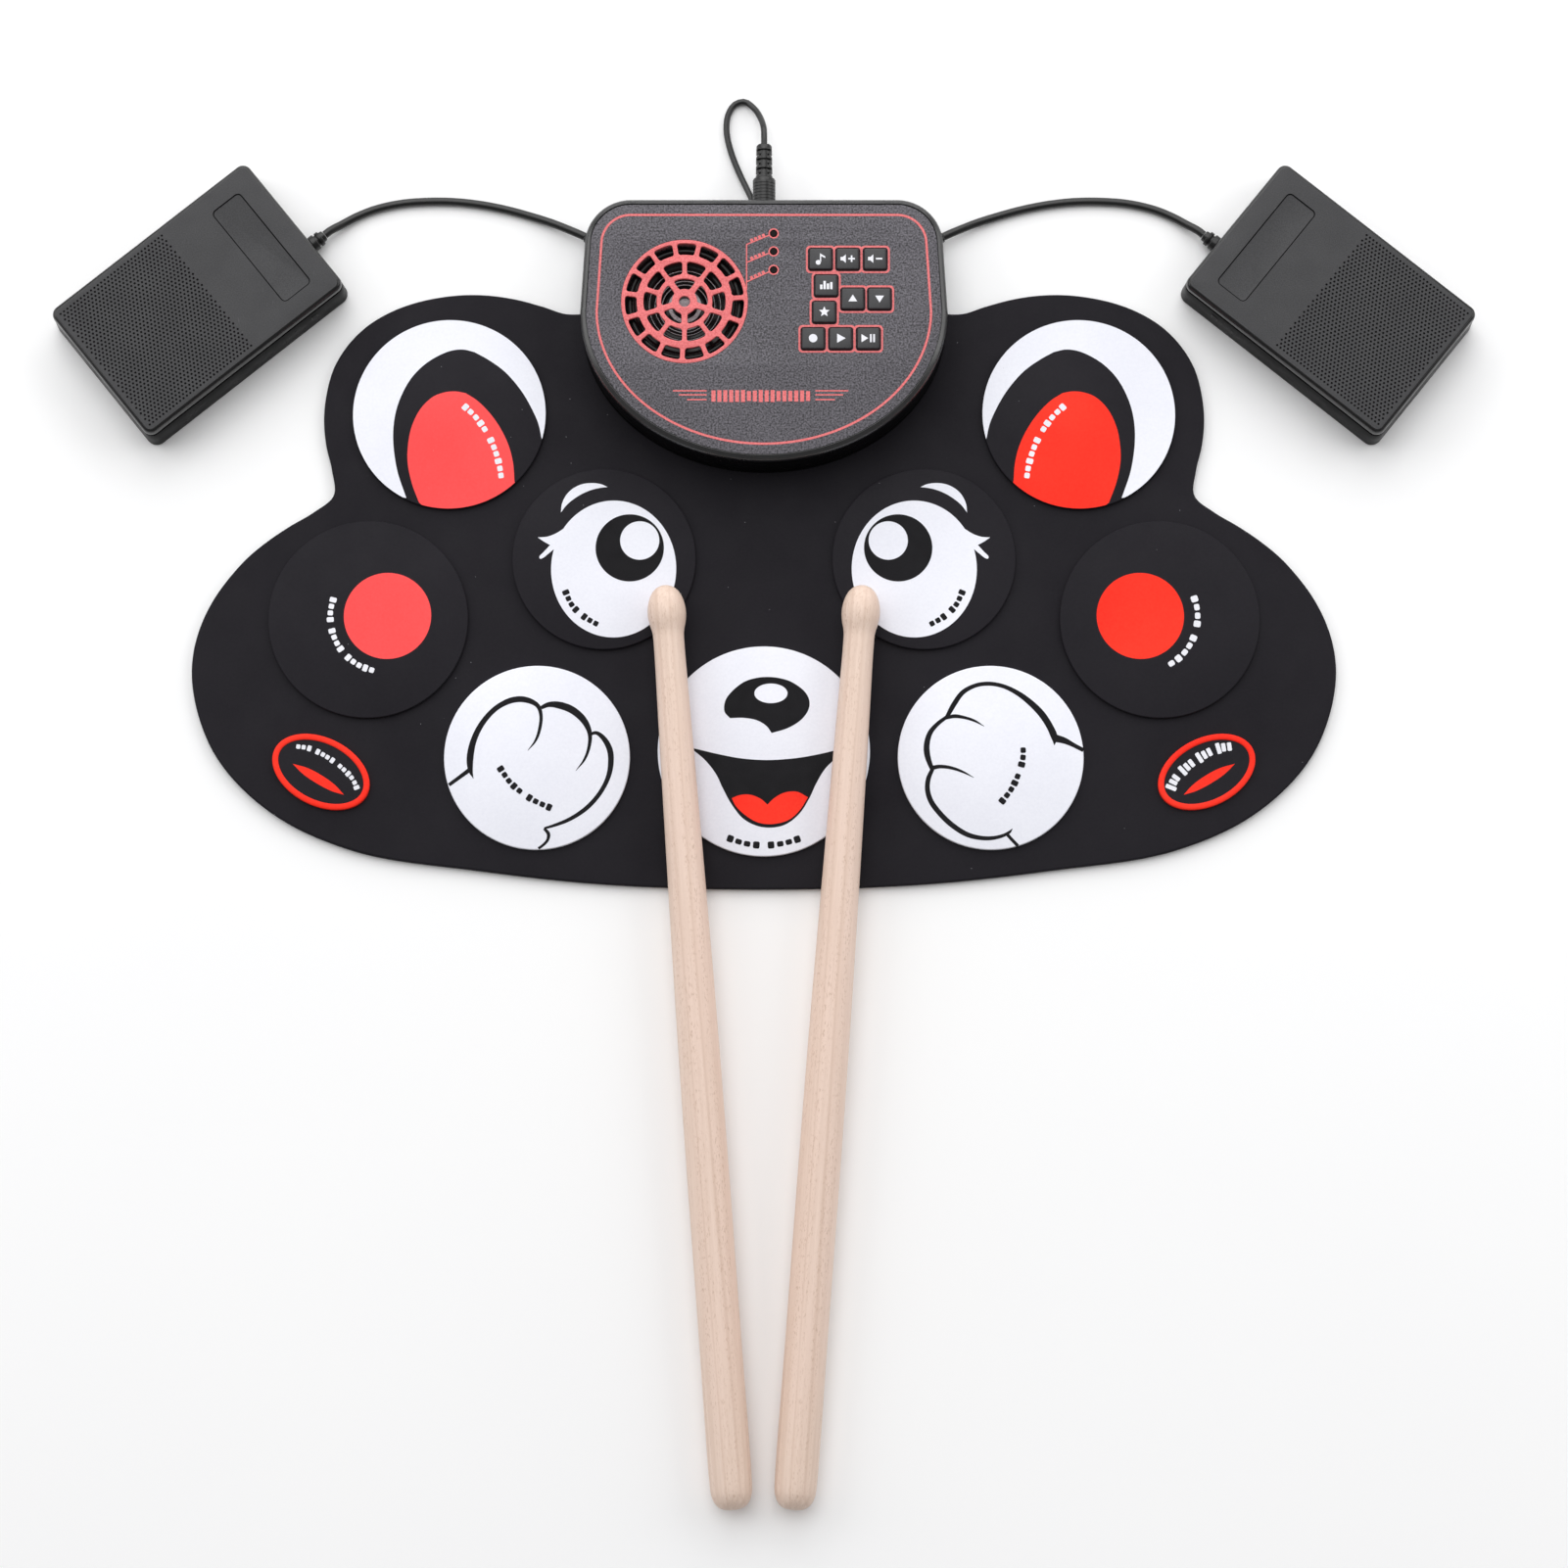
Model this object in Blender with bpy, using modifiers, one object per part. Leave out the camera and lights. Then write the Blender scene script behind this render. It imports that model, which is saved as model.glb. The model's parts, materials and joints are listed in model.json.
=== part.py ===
"""Electronic drum pad: a roll-up silicone drum mat with its console, two foot pedals and two sticks.

The origin is the centre of the mat's underside. +X is the player's right, +Y points away from the
player and +Z is up. The script works in metres, and sizes are written as millimetres times MM.
"""

import math

import bmesh
import bpy
from mathutils import Matrix, Vector

MM = 0.001
GAP = 0.3 * MM  # left between two pieces that touch

# Mat: two silicone skins with the sensor film between them
SKIN_THICKNESS = 1.2 * MM
FILM_THICKNESS = 0.3 * MM
FILM_SCALE = 0.97
BACK_SKIN_TOP = SKIN_THICKNESS
FILM_TOP = BACK_SKIN_TOP + GAP + FILM_THICKNESS
MAT_TOP = FILM_TOP + GAP + SKIN_THICKNESS
PAD_THICKNESS = 1.6 * MM
PAD_BOTTOM = MAT_TOP + GAP
PAD_TOP = PAD_BOTTOM + PAD_THICKNESS
OUTLINE_SPACING = 11 * MM

# Left half of the mat's edge, from the front centre round the cheek and the ear to the tab
MAT_EDGE_MM = [
    (0, -124.6), (-64, -122.6), (-117, -116.9), (-167.7, -108.8), (-202.6, -92.6), (-226, -68),
    (-235.5, -36), (-230.5, -11), (-213.6, 13), (-192, 29.2), (-180, 36.6), (-177.3, 43.5),
    (-180.3, 54), (-182.7, 72), (-178.6, 94.2), (-166.5, 110.4), (-148, 120.5), (-122, 124.8),
    (-98, 121.6), (-82, 116.5), (-70, 119), (-62, 136), (-40, 138.6), (0, 138.6),
]

# Drum pads: name, centre X and Y, radius
ROUND_PADS_MM = [
    ("left_crash_pad", -130.5, 73.4, 40.2),
    ("right_crash_pad", 130.5, 73.4, 40.2),
    ("hihat_pad", -163.0, -13.0, 41.2),
    ("ride_pad", 163.0, -13.0, 41.2),
    ("high_tom_pad", -66.0, 12.3, 37.9),
    ("low_tom_pad", 66.0, 12.3, 37.9),
    ("snare_pad", -93.0, -70.5, 38.1),
    ("floor_tom_pad", 93.0, -70.5, 38.1),
    ("bass_pad", 0.0, -67.8, 43.5),
]
OVAL_PAD_X = 181.5 * MM
OVAL_PAD_Y = -76.4 * MM
OVAL_PAD_HALF_LENGTH = 21.3 * MM
OVAL_PAD_HALF_WIDTH = 14.0 * MM
OVAL_PAD_TILT = math.radians(27)

# Console: a D-shaped case, straight at the back and half an ellipse at the front
CONSOLE_HALF_WIDTH = 75.6 * MM
CONSOLE_MIDDLE_Y = 111.5 * MM
CONSOLE_FRONT_DEPTH = 62.7 * MM
CONSOLE_BACK_Y = 159.0 * MM
CONSOLE_CORNER = 19.0 * MM
CONSOLE_SIDE_TAPER = math.radians(3.5)
CONSOLE_HEIGHT = 28.0 * MM
CONSOLE_WALL = 2.4 * MM
CONSOLE_TOP_EDGE = 1.4 * MM
BASE_HEIGHT = 8.0 * MM
BASE_FLOOR_BOTTOM = PAD_BOTTOM
BASE_FLOOR_TOP = 6.6 * MM
BASE_STEP_Y = 140.3 * MM
BASE_POCKET_FLOOR = 2.0 * MM
FACEPLATE_INSET = 2.6 * MM
FACEPLATE_BOTTOM = 26.1 * MM
FACEPLATE_TOP = 27.7 * MM
LEDGE_BOTTOM = 24.2 * MM
LEDGE_TOP = FACEPLATE_BOTTOM - GAP
LEDGE_INSET = 6.0 * MM

# Case screws: where they stand along the front half-ellipse, and how far inside it
SCREW_ANGLES = (math.radians(6), math.radians(55))
SCREW_INSET = 5.8 * MM
SCREW_HEAD_RADIUS = 2.4 * MM
SCREW_SHAFT_RADIUS = 1.0 * MM
SCREW_HEAD_BOTTOM = 4.0 * MM
SCREW_HEAD_TOP = 5.2 * MM
SCREW_TIP = 14.0 * MM
BOSS_RADIUS = 3.2 * MM

# Speaker and its grille in the faceplate
SPEAKER_X = -32.6 * MM
SPEAKER_Y = 115.5 * MM
GRILLE_RADIUS = 26.0 * MM
# Rings of slots, as parts of the grille's radius: inner, outer, slot count, first angle, web width
GRILLE_RINGS = [
    (0.20, 0.37, 5, math.radians(90), 2.4 * MM),
    (0.44, 0.65, 10, math.radians(0), 1.9 * MM),
    (0.755, 0.943, 15, math.radians(88), 1.9 * MM),
]
GRILLE_HOLE = 0.09

# Keys: name, centre X and Y
KEYS_MM = [
    ("key_demo", 23.3, 133.2),
    ("key_volume_up", 34.5, 133.2),
    ("key_volume_down", 45.8, 133.2),
    ("key_rhythm", 25.6, 122.0),
    ("key_tempo_up", 36.5, 116.4),
    ("key_tempo_down", 47.5, 116.4),
    ("key_style", 24.8, 110.8),
    ("key_record", 20.2, 99.7),
    ("key_play", 31.5, 99.7),
    ("key_start_stop", 42.9, 99.7),
]
KEY_WIDTH = 9.5 * MM
KEY_DEPTH = 9.1 * MM
KEY_CORNER = 1.0 * MM
KEY_CLEARANCE = 0.3 * MM
KEY_TOP = 28.9 * MM
KEY_FLANGE = 0.7 * MM
KEY_FLANGE_BOTTOM = 24.4 * MM
KEY_FLANGE_TOP = 25.6 * MM
KEY_STEM = 6.0 * MM
KEY_STEM_BOTTOM = 23.1 * MM

# Electronics
BOARD_LOW = (-1.0 * MM, 90.0 * MM, 18.4 * MM)
BOARD_HIGH = (60.0 * MM, 148.0 * MM, 20.0 * MM)
KEYPAD_LOW = (13.0 * MM, 93.0 * MM, 20.3 * MM)
KEYPAD_HIGH = (55.0 * MM, 140.0 * MM, 21.8 * MM)
BATTERY_LOW = (-30.0 * MM, 58.5 * MM, 6.9 * MM)
BATTERY_HIGH = (30.0 * MM, 80.0 * MM, 14.9 * MM)
LIGHT_X = 4.0 * MM
LIGHT_YS = (144.2 * MM, 136.6 * MM, 128.8 * MM)
LIGHT_HOLE_RADIUS = 1.6 * MM
LIGHT_POST_RADIUS = 1.25 * MM
LIGHT_BAR_BOTTOM = 21.0 * MM
LIGHT_BAR_TOP = 23.0 * MM

# Power socket, its plug and the lead that loops back into the case
PLUG_X = 0.0 * MM
PLUG_Z = 13.6 * MM
PLUG_BARREL_RADIUS = 2.75 * MM
PLUG_GRIP_RADIUS = 4.75 * MM
PLUG_BARREL_LENGTH = 12.0 * MM
PLUG_GRIP_LENGTH = 12.4 * MM
PLUG_RELIEF_LENGTH = 14.2 * MM
SOCKET_LOW = (-4.8 * MM, 144.0 * MM, 9.1 * MM)
SOCKET_HIGH = (4.8 * MM, 156.2 * MM, 18.1 * MM)
SOCKET_BORE_RADIUS = 3.15 * MM
SOCKET_HOLE_RADIUS = 3.6 * MM
LEAD_RADIUS = 1.3 * MM
LEAD_GLAND_X = -5.2 * MM
GLAND_Z = 4.2 * MM

# Power switch at the back wall
SWITCH_LOW = (28.0 * MM, 147.0 * MM, 9.5 * MM)
SWITCH_HIGH = (44.0 * MM, 156.0 * MM, 18.1 * MM)
KNOB_LOW = (32.2 * MM, 156.3 * MM, 11.6 * MM)
KNOB_HIGH = (37.2 * MM, 162.0 * MM, 15.6 * MM)
KNOB_TRAVEL = 3.0 * MM
KNOB_CLEARANCE = 0.6 * MM

# Foot pedals: a treadle rocks on moulded trunnions over a base
PEDAL_X = 234.2 * MM
PEDAL_Y = 119.0 * MM
PEDAL_TURN = math.radians(39)
PEDAL_LENGTH = 104.0 * MM
PEDAL_WIDTH = 69.0 * MM
PEDAL_CORNER = 4.0 * MM
PEDAL_HEIGHT = 20.0 * MM
PEDAL_BASE_HEIGHT = 14.2 * MM
PEDAL_FLOOR = 2.0 * MM
PEDAL_WALL = 2.2 * MM
PEDAL_SEAM = 1.8 * MM
PEDAL_SHELL = 2.0 * MM
PIVOT_X = 25.0 * MM
PIVOT_Z = 10.0 * MM
TRUNNION_RADIUS = 2.0 * MM
TRUNNION_CLEARANCE = 0.4 * MM
LUG_LENGTH = 7.0 * MM
LUG_INNER_Y = 24.8 * MM
LUG_OUTER_Y = 27.9 * MM
BEARING_LENGTH = 9.0 * MM
BEARING_INNER_Y = 28.5 * MM
BEARING_TOP = 13.6 * MM
TRUNNION_END_Y = 31.0 * MM
LABEL_X = 34.0 * MM
LABEL_LENGTH = 50.0 * MM
LABEL_WIDTH = 14.0 * MM
LABEL_DEPTH = 0.4 * MM
SPRING_X = -41.5 * MM
SPRING_RADIUS = 4.2 * MM
SPRING_WIRE = 0.5 * MM
SPRING_TURNS = 4
FOOT_SWITCH_X = -29.0 * MM
FOOT_SWITCH_SIZE = 12.0 * MM
FOOT_SWITCH_TOP = 9.3 * MM
FOOT_SWITCH_CAP_TOP = 13.0 * MM
FOOT_SWITCH_CAP_RADIUS = 4.0 * MM
PUSHER_BOTTOM = 14.8 * MM
PUSHER_RADIUS = 3.0 * MM
RELIEF_Y = 7.8 * MM
RELIEF_Z = 4.2 * MM
RELIEF_HOLE_RADIUS = 2.2 * MM
CABLE_RADIUS = 1.7 * MM
# Where the pedals' cables enter the console, as an angle round its back corners
CABLE_ENTRY = math.radians(25)

# Cable of the left pedal, from its strain relief to the console's gland
CABLE_ROUTE_MM = [
    (-177.0, 154.6, 2.9), (-170.5, 158.5, 1.9), (-162.5, 161.8, 1.7), (-152, 164.2, 1.7),
    (-141, 165.1, 1.7), (-130, 165.0, 1.7), (-119, 163.8, 1.7), (-108, 161.6, 1.7),
    (-97, 158.5, 1.8), (-88, 155.3, 2.7), (-82, 152.6, 3.8),
]
# Lead from its plug to its gland, as one drooping loop behind the console
LEAD_ROUTE_MM = [
    (-0.2, 194.0, 11.4), (-1.6, 199.8, 6.6), (-4.4, 205.2, 2.8), (-8.4, 208.4, 1.5),
    (-12.4, 207.2, 1.4), (-15.2, 202.6, 1.4), (-15.9, 196.6, 1.4), (-15.0, 190.4, 1.4),
    (-12.8, 183.2, 1.4), (-9.6, 175.4, 1.9), (-7.0, 169.6, 3.1),
]

# Drumsticks
STICK_TIP = (-40.6 * MM, -0.5 * MM, 14.1 * MM)
STICK_BUTT = (-12.2 * MM, -374.0 * MM, 8.8 * MM)
# Profile of a stick: distance from the tip and radius
STICK_PROFILE_MM = [
    (0.0, 0.0), (0.9, 3.0), (3.2, 5.6), (7.0, 7.3), (11.5, 7.9), (16.0, 7.5), (20.5, 6.5),
    (25.0, 6.3), (60.0, 6.8), (110.0, 7.5), (170.0, 8.2), (230.0, 8.5), (368.0, 8.5),
    (372.5, 7.9), (374.6, 6.0), (375.0, 0.0),
]


def clear_scene():
    for obj in list(bpy.data.objects):
        bpy.data.objects.remove(obj, do_unlink=True)


def new_group(name, hidden=False):
    group = bpy.data.collections.new(name)
    bpy.context.scene.collection.children.link(group)
    group.hide_render = hidden
    return group


clear_scene()
PARTS = new_group("electronic_drum_pad")
CUTTERS = new_group("cutters", hidden=True)


def new_material(name, colour, roughness, metallic=0.0):
    material = bpy.data.materials.new(name)
    material.use_nodes = True
    shader = material.node_tree.nodes["Principled BSDF"]
    shader.inputs["Base Color"].default_value = (*colour, 1.0)
    shader.inputs["Roughness"].default_value = roughness
    shader.inputs["Metallic"].default_value = metallic
    return material


CHARCOAL_SILICONE = new_material("charcoal_silicone", (0.018, 0.017, 0.020), 0.75)
WHITE_SILICONE = new_material("white_silicone", (0.80, 0.81, 0.87), 0.70)
RED_SILICONE = new_material("red_silicone", (0.90, 0.05, 0.04), 0.65)
SENSOR_FILM = new_material("sensor_film", (0.55, 0.45, 0.20), 0.50)
BLACK_ABS = new_material("black_abs", (0.010, 0.010, 0.011), 0.35)
GREY_ABS = new_material("grey_abs", (0.115, 0.112, 0.122), 0.60)
PEDAL_ABS = new_material("pedal_abs", (0.045, 0.045, 0.046), 0.55)
KEY_RUBBER = new_material("key_rubber", (0.018, 0.018, 0.022), 0.50)
CABLE_PVC = new_material("cable_pvc", (0.012, 0.012, 0.012), 0.45)
CLEAR_PLASTIC = new_material("clear_plastic", (0.60, 0.05, 0.05), 0.20)
BOARD_LAMINATE = new_material("board_laminate", (0.02, 0.16, 0.06), 0.50)
BATTERY_WRAP = new_material("battery_wrap", (0.30, 0.34, 0.40), 0.40)
SPEAKER_PAPER = new_material("speaker_paper", (0.020, 0.020, 0.022), 0.60)
PLATED_STEEL = new_material("plated_steel", (0.55, 0.56, 0.58), 0.30, 1.0)
MAPLE = new_material("maple", (0.75, 0.55, 0.37), 0.60)


def in_metres(points_mm):
    return [Vector(point) * MM for point in points_mm]


def ellipse(x, y, half_length, half_width, count, angle=0.0):
    """Points round an ellipse whose long axis stands at the angle."""
    points = []
    for index in range(count):
        turn = math.tau * index / count
        along = half_length * math.cos(turn)
        across = half_width * math.sin(turn)
        points.append(Vector((
            x + along * math.cos(angle) - across * math.sin(angle),
            y + along * math.sin(angle) + across * math.cos(angle),
        )))
    return points


def rounded_rectangle(x, y, length, width, corner, steps=3):
    points = []
    for quarter in range(4):
        sign_x = 1 if quarter in (0, 3) else -1
        sign_y = 1 if quarter in (0, 1) else -1
        for step in range(steps):
            turn = math.radians(90) * (quarter + step / (steps - 1))
            points.append(Vector((
                x + sign_x * (length / 2 - corner) + corner * math.cos(turn),
                y + sign_y * (width / 2 - corner) + corner * math.sin(turn),
            )))
    return points


def smooth_curve(points, spacing, closed=False):
    """Evenly spaced points along a centripetal Catmull-Rom curve through the given points."""
    count = len(points)
    if closed:
        padded = [points[-1], *points, points[0], points[1]]
    else:
        padded = [2 * points[0] - points[1], *points, 2 * points[-1] - points[-2]]
    fine = []
    for index in range(count if closed else count - 1):
        a, b, c, d = padded[index:index + 4]
        t1 = (b - a).length ** 0.5
        t2 = t1 + (c - b).length ** 0.5
        t3 = t2 + (d - c).length ** 0.5
        for step in range(24):
            t = t1 + (t2 - t1) * step / 24
            ab = a.lerp(b, t / t1)
            bc = b.lerp(c, (t - t1) / (t2 - t1))
            cd = c.lerp(d, (t - t2) / (t3 - t2))
            abc = ab.lerp(bc, t / t2)
            bcd = bc.lerp(cd, (t - t1) / (t3 - t1))
            fine.append(abc.lerp(bcd, (t - t1) / (t2 - t1)))
    fine.append(points[0] if closed else points[-1])
    lengths = [0.0]
    for start, end in zip(fine, fine[1:]):
        lengths.append(lengths[-1] + (end - start).length)
    pieces = max(3, round(lengths[-1] / spacing))
    result = []
    place = 0
    for piece in range(pieces + (0 if closed else 1)):
        wanted = lengths[-1] * piece / pieces
        while place < len(fine) - 2 and lengths[place + 1] < wanted:
            place += 1
        part = (wanted - lengths[place]) / (lengths[place + 1] - lengths[place])
        result.append(fine[place].lerp(fine[place + 1], part))
    return result


def inset(outline, distance):
    """The convex, counter-clockwise outline moved inwards by the distance."""
    moved = []
    for index, point in enumerate(outline):
        along = outline[(index + 1) % len(outline)] - outline[index - 1]
        inwards = Vector((-along.y, along.x)).normalized()
        moved.append(point + inwards * distance)
    return moved


def console_outline():
    """Counter-clockwise from the right end of the front half-ellipse, by way of the back corners."""
    rise = CONSOLE_BACK_Y - CONSOLE_CORNER - CONSOLE_MIDDLE_Y
    side = (rise + CONSOLE_CORNER * math.sin(CONSOLE_SIDE_TAPER)) / math.cos(CONSOLE_SIDE_TAPER)
    corner_x = (
        CONSOLE_HALF_WIDTH
        - side * math.sin(CONSOLE_SIDE_TAPER)
        - CONSOLE_CORNER * math.cos(CONSOLE_SIDE_TAPER)
    )
    corner_y = CONSOLE_BACK_Y - CONSOLE_CORNER
    right = []
    for step in range(9):
        turn = CONSOLE_SIDE_TAPER + (math.radians(90) - CONSOLE_SIDE_TAPER) * step / 8
        right.append(Vector((
            corner_x + CONSOLE_CORNER * math.cos(turn),
            corner_y + CONSOLE_CORNER * math.sin(turn),
        )))
    left = [Vector((-point.x, point.y)) for point in reversed(right)]
    front = []
    for step in range(29):
        turn = math.pi + math.pi * step / 28
        front.append(Vector((
            CONSOLE_HALF_WIDTH * math.cos(turn),
            CONSOLE_MIDDLE_Y + CONSOLE_FRONT_DEPTH * math.sin(turn),
        )))
    return right + left + front, Vector((corner_x, corner_y))


CONSOLE_OUTLINE, CONSOLE_CORNER_CENTRE = console_outline()


def screw_points():
    points = []
    for angle in SCREW_ANGLES:
        x = (CONSOLE_HALF_WIDTH - SCREW_INSET) * math.cos(angle)
        y = CONSOLE_MIDDLE_Y - (CONSOLE_FRONT_DEPTH - SCREW_INSET) * math.sin(angle)
        points += [(-x, y), (x, y)]
    return points


def place(data, name, material, group):
    obj = bpy.data.objects.new(name, data)
    group.objects.link(obj)
    if material:
        data.materials.append(material)
    if group == CUTTERS:
        obj.hide_render = True
        obj.display_type = "WIRE"
    return obj


def plate(name, outlines, bottom, top, material, group=PARTS):
    """A flat piece between two heights. The outlines after the first are its holes."""
    curve = bpy.data.curves.new(name, "CURVE")
    curve.dimensions = "2D"
    curve.fill_mode = "BOTH"
    curve.extrude = (top - bottom) / 2
    for outline in outlines:
        spline = curve.splines.new("POLY")
        spline.points.add(len(outline) - 1)
        spline.use_cyclic_u = True
        for point, corner in zip(spline.points, outline):
            point.co = (corner[0], corner[1], 0.0, 1.0)
    obj = place(curve, name, material, group)
    obj.location.z = (bottom + top) / 2
    return obj


def solid_plate(name, outline, bottom, top, material, group=PARTS):
    """A plate as a closed mesh, ready for Boolean and Bevel modifiers."""
    flat = plate(name, [outline], bottom, top, None, group)
    bpy.context.view_layer.update()
    graph = bpy.context.evaluated_depsgraph_get()
    mesh = bpy.data.meshes.new_from_object(flat.evaluated_get(graph))
    mesh.transform(flat.matrix_world)
    edit = bmesh.new()
    edit.from_mesh(mesh)
    bmesh.ops.remove_doubles(edit, verts=edit.verts, dist=0.00001)
    bmesh.ops.dissolve_limit(edit, angle_limit=0.001, verts=edit.verts, edges=edit.edges)
    bmesh.ops.recalc_face_normals(edit, faces=edit.faces)
    edit.to_mesh(mesh)
    edit.free()
    bpy.data.objects.remove(flat, do_unlink=True)
    return place(mesh, name, material, group)


def block(name, low, high, material, group=PARTS):
    edit = bmesh.new()
    bmesh.ops.create_cube(edit, size=1.0)
    mesh = bpy.data.meshes.new(name)
    edit.to_mesh(mesh)
    edit.free()
    size = [high[axis] - low[axis] for axis in range(3)]
    centre = [(high[axis] + low[axis]) / 2 for axis in range(3)]
    mesh.transform(Matrix.Diagonal((*size, 1.0)))
    obj = place(mesh, name, material, group)
    obj.location = centre
    return obj


def rod(name, start, end, radius, material, group=PARTS, sides=20):
    """A cylinder between two points."""
    start = Vector(start)
    end = Vector(end)
    edit = bmesh.new()
    bmesh.ops.create_cone(
        edit, cap_ends=True, segments=sides, radius1=radius, radius2=radius,
        depth=(end - start).length,
    )
    mesh = bpy.data.meshes.new(name)
    edit.to_mesh(mesh)
    edit.free()
    mesh.transform((end - start).to_track_quat("Z", "Y").to_matrix().to_4x4())
    mesh.shade_smooth()
    mesh.set_sharp_from_angle(angle=math.radians(40))
    obj = place(mesh, name, material, group)
    obj.location = (start + end) / 2
    return obj


def turned(name, profile, material, steps=16):
    """A body turned about its Z axis. The profile runs from the top to the bottom as (radius, z)."""
    mesh = bpy.data.meshes.new(name)
    edges = [(index, index + 1) for index in range(len(profile) - 1)]
    mesh.from_pydata([(radius, 0.0, z) for radius, z in profile], edges, [])
    obj = place(mesh, name, material, PARTS)
    screw = obj.modifiers.new("turn", "SCREW")
    screw.steps = steps
    screw.render_steps = steps
    screw.use_merge_vertices = True
    screw.merge_threshold = 0.00001
    screw.use_smooth_shade = True
    return obj


def tube(name, points, radius, material, group=PARTS):
    """A round cord or wire with filled ends along the points."""
    curve = bpy.data.curves.new(name, "CURVE")
    curve.dimensions = "3D"
    curve.bevel_depth = radius
    curve.bevel_resolution = 2
    curve.use_fill_caps = True
    spline = curve.splines.new("POLY")
    spline.points.add(len(points) - 1)
    for point, corner in zip(spline.points, points):
        point.co = (*corner, 1.0)
    return place(curve, name, material, group)


def combine(obj, other, operation="DIFFERENCE"):
    boolean = obj.modifiers.new(other.name, "BOOLEAN")
    boolean.operation = operation
    boolean.solver = "EXACT"
    boolean.object = other


def round_top_edge(obj, top, width):
    """Rounds the edge round the flat face at the given height."""
    mesh = obj.data
    weights = mesh.attributes.new("bevel_weight_edge", "FLOAT", "EDGE")
    for edge in mesh.edges:
        heights = [mesh.vertices[index].co.z for index in edge.vertices]
        if min(heights) > top - GAP:
            weights.data[edge.index].value = 1.0
    bevel = obj.modifiers.new("rounded_edge", "BEVEL")
    bevel.limit_method = "WEIGHT"
    bevel.width = width
    bevel.segments = 2


def cord_route(start, start_way, middle, end, end_way):
    """Straight out of one fitting, along the middle points, and straight into the other."""
    lead_out = 3 * MM
    ends = (start + start_way * lead_out, end + end_way * lead_out)
    return [start, ends[0], *in_metres(middle), ends[1], end]


def aim(obj, tip, direction):
    """Puts the body's origin at the point with its Z axis along the direction."""
    obj.location = tip
    obj.rotation_mode = "QUATERNION"
    obj.rotation_quaternion = Vector(direction).to_track_quat("Z", "Y")


def attach(parent, *children):
    for child in children:
        child.parent = parent


def make_mat():
    left = in_metres(MAT_EDGE_MM)
    right = [Vector((-point.x, point.y)) for point in reversed(left[1:-1])]
    outline = smooth_curve(left + right, OUTLINE_SPACING, closed=True)
    film = [point * FILM_SCALE for point in outline]
    plate("mat_back_skin", [outline], 0.0, BACK_SKIN_TOP, CHARCOAL_SILICONE)
    plate("sensor_film", [film], BACK_SKIN_TOP + GAP, FILM_TOP, SENSOR_FILM)
    plate("mat_top_skin", [outline], FILM_TOP + GAP, MAT_TOP, CHARCOAL_SILICONE)


def make_pads():
    white_pads = {"snare_pad", "floor_tom_pad", "bass_pad"}
    for name, x, y, radius in ROUND_PADS_MM:
        outline = ellipse(x * MM, y * MM, radius * MM, radius * MM, 32)
        material = WHITE_SILICONE if name in white_pads else CHARCOAL_SILICONE
        plate(name, [outline], PAD_BOTTOM, PAD_TOP, material)
    for name, side in (("closed_hihat_pad", -1), ("effect_pad", 1)):
        outline = ellipse(
            side * OVAL_PAD_X, OVAL_PAD_Y, OVAL_PAD_HALF_LENGTH, OVAL_PAD_HALF_WIDTH,
            28, side * OVAL_PAD_TILT,
        )
        plate(name, [outline], PAD_BOTTOM, PAD_TOP, RED_SILICONE)


def slot_outline(inner, outer, middle, spread, web):
    """One slot of the grille, a rounded sector whose side webs keep an even width."""
    points = []
    for radius, turns in ((outer, (-1, -0.4, 0.4, 1)), (inner, (1, 0, -1))):
        half = spread / 2 - web / (2 * radius)
        for turn in turns:
            angle = middle + half * turn
            points.append(Vector((
                SPEAKER_X + radius * math.cos(angle),
                SPEAKER_Y + radius * math.sin(angle),
            )))
    return points


def grille_outlines():
    hole = GRILLE_HOLE * GRILLE_RADIUS
    outlines = [ellipse(SPEAKER_X, SPEAKER_Y, hole, hole, 10)]
    for inner, outer, count, first, web in GRILLE_RINGS:
        for index in range(count):
            outlines.append(slot_outline(
                inner * GRILLE_RADIUS, outer * GRILLE_RADIUS,
                first + math.tau * index / count, math.tau / count, web,
            ))
    return outlines


def make_faceplate():
    outlines = [inset(CONSOLE_OUTLINE, FACEPLATE_INSET)]
    outlines += grille_outlines()
    for _, x, y in KEYS_MM:
        outlines.append(rounded_rectangle(
            x * MM, y * MM, KEY_WIDTH + 2 * KEY_CLEARANCE, KEY_DEPTH + 2 * KEY_CLEARANCE,
            KEY_CORNER + KEY_CLEARANCE,
        ))
    for y in LIGHT_YS:
        outlines.append(ellipse(LIGHT_X, y, LIGHT_HOLE_RADIUS, LIGHT_HOLE_RADIUS, 12))
    plate("console_faceplate", outlines, FACEPLATE_BOTTOM, FACEPLATE_TOP, GREY_ABS)


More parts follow.
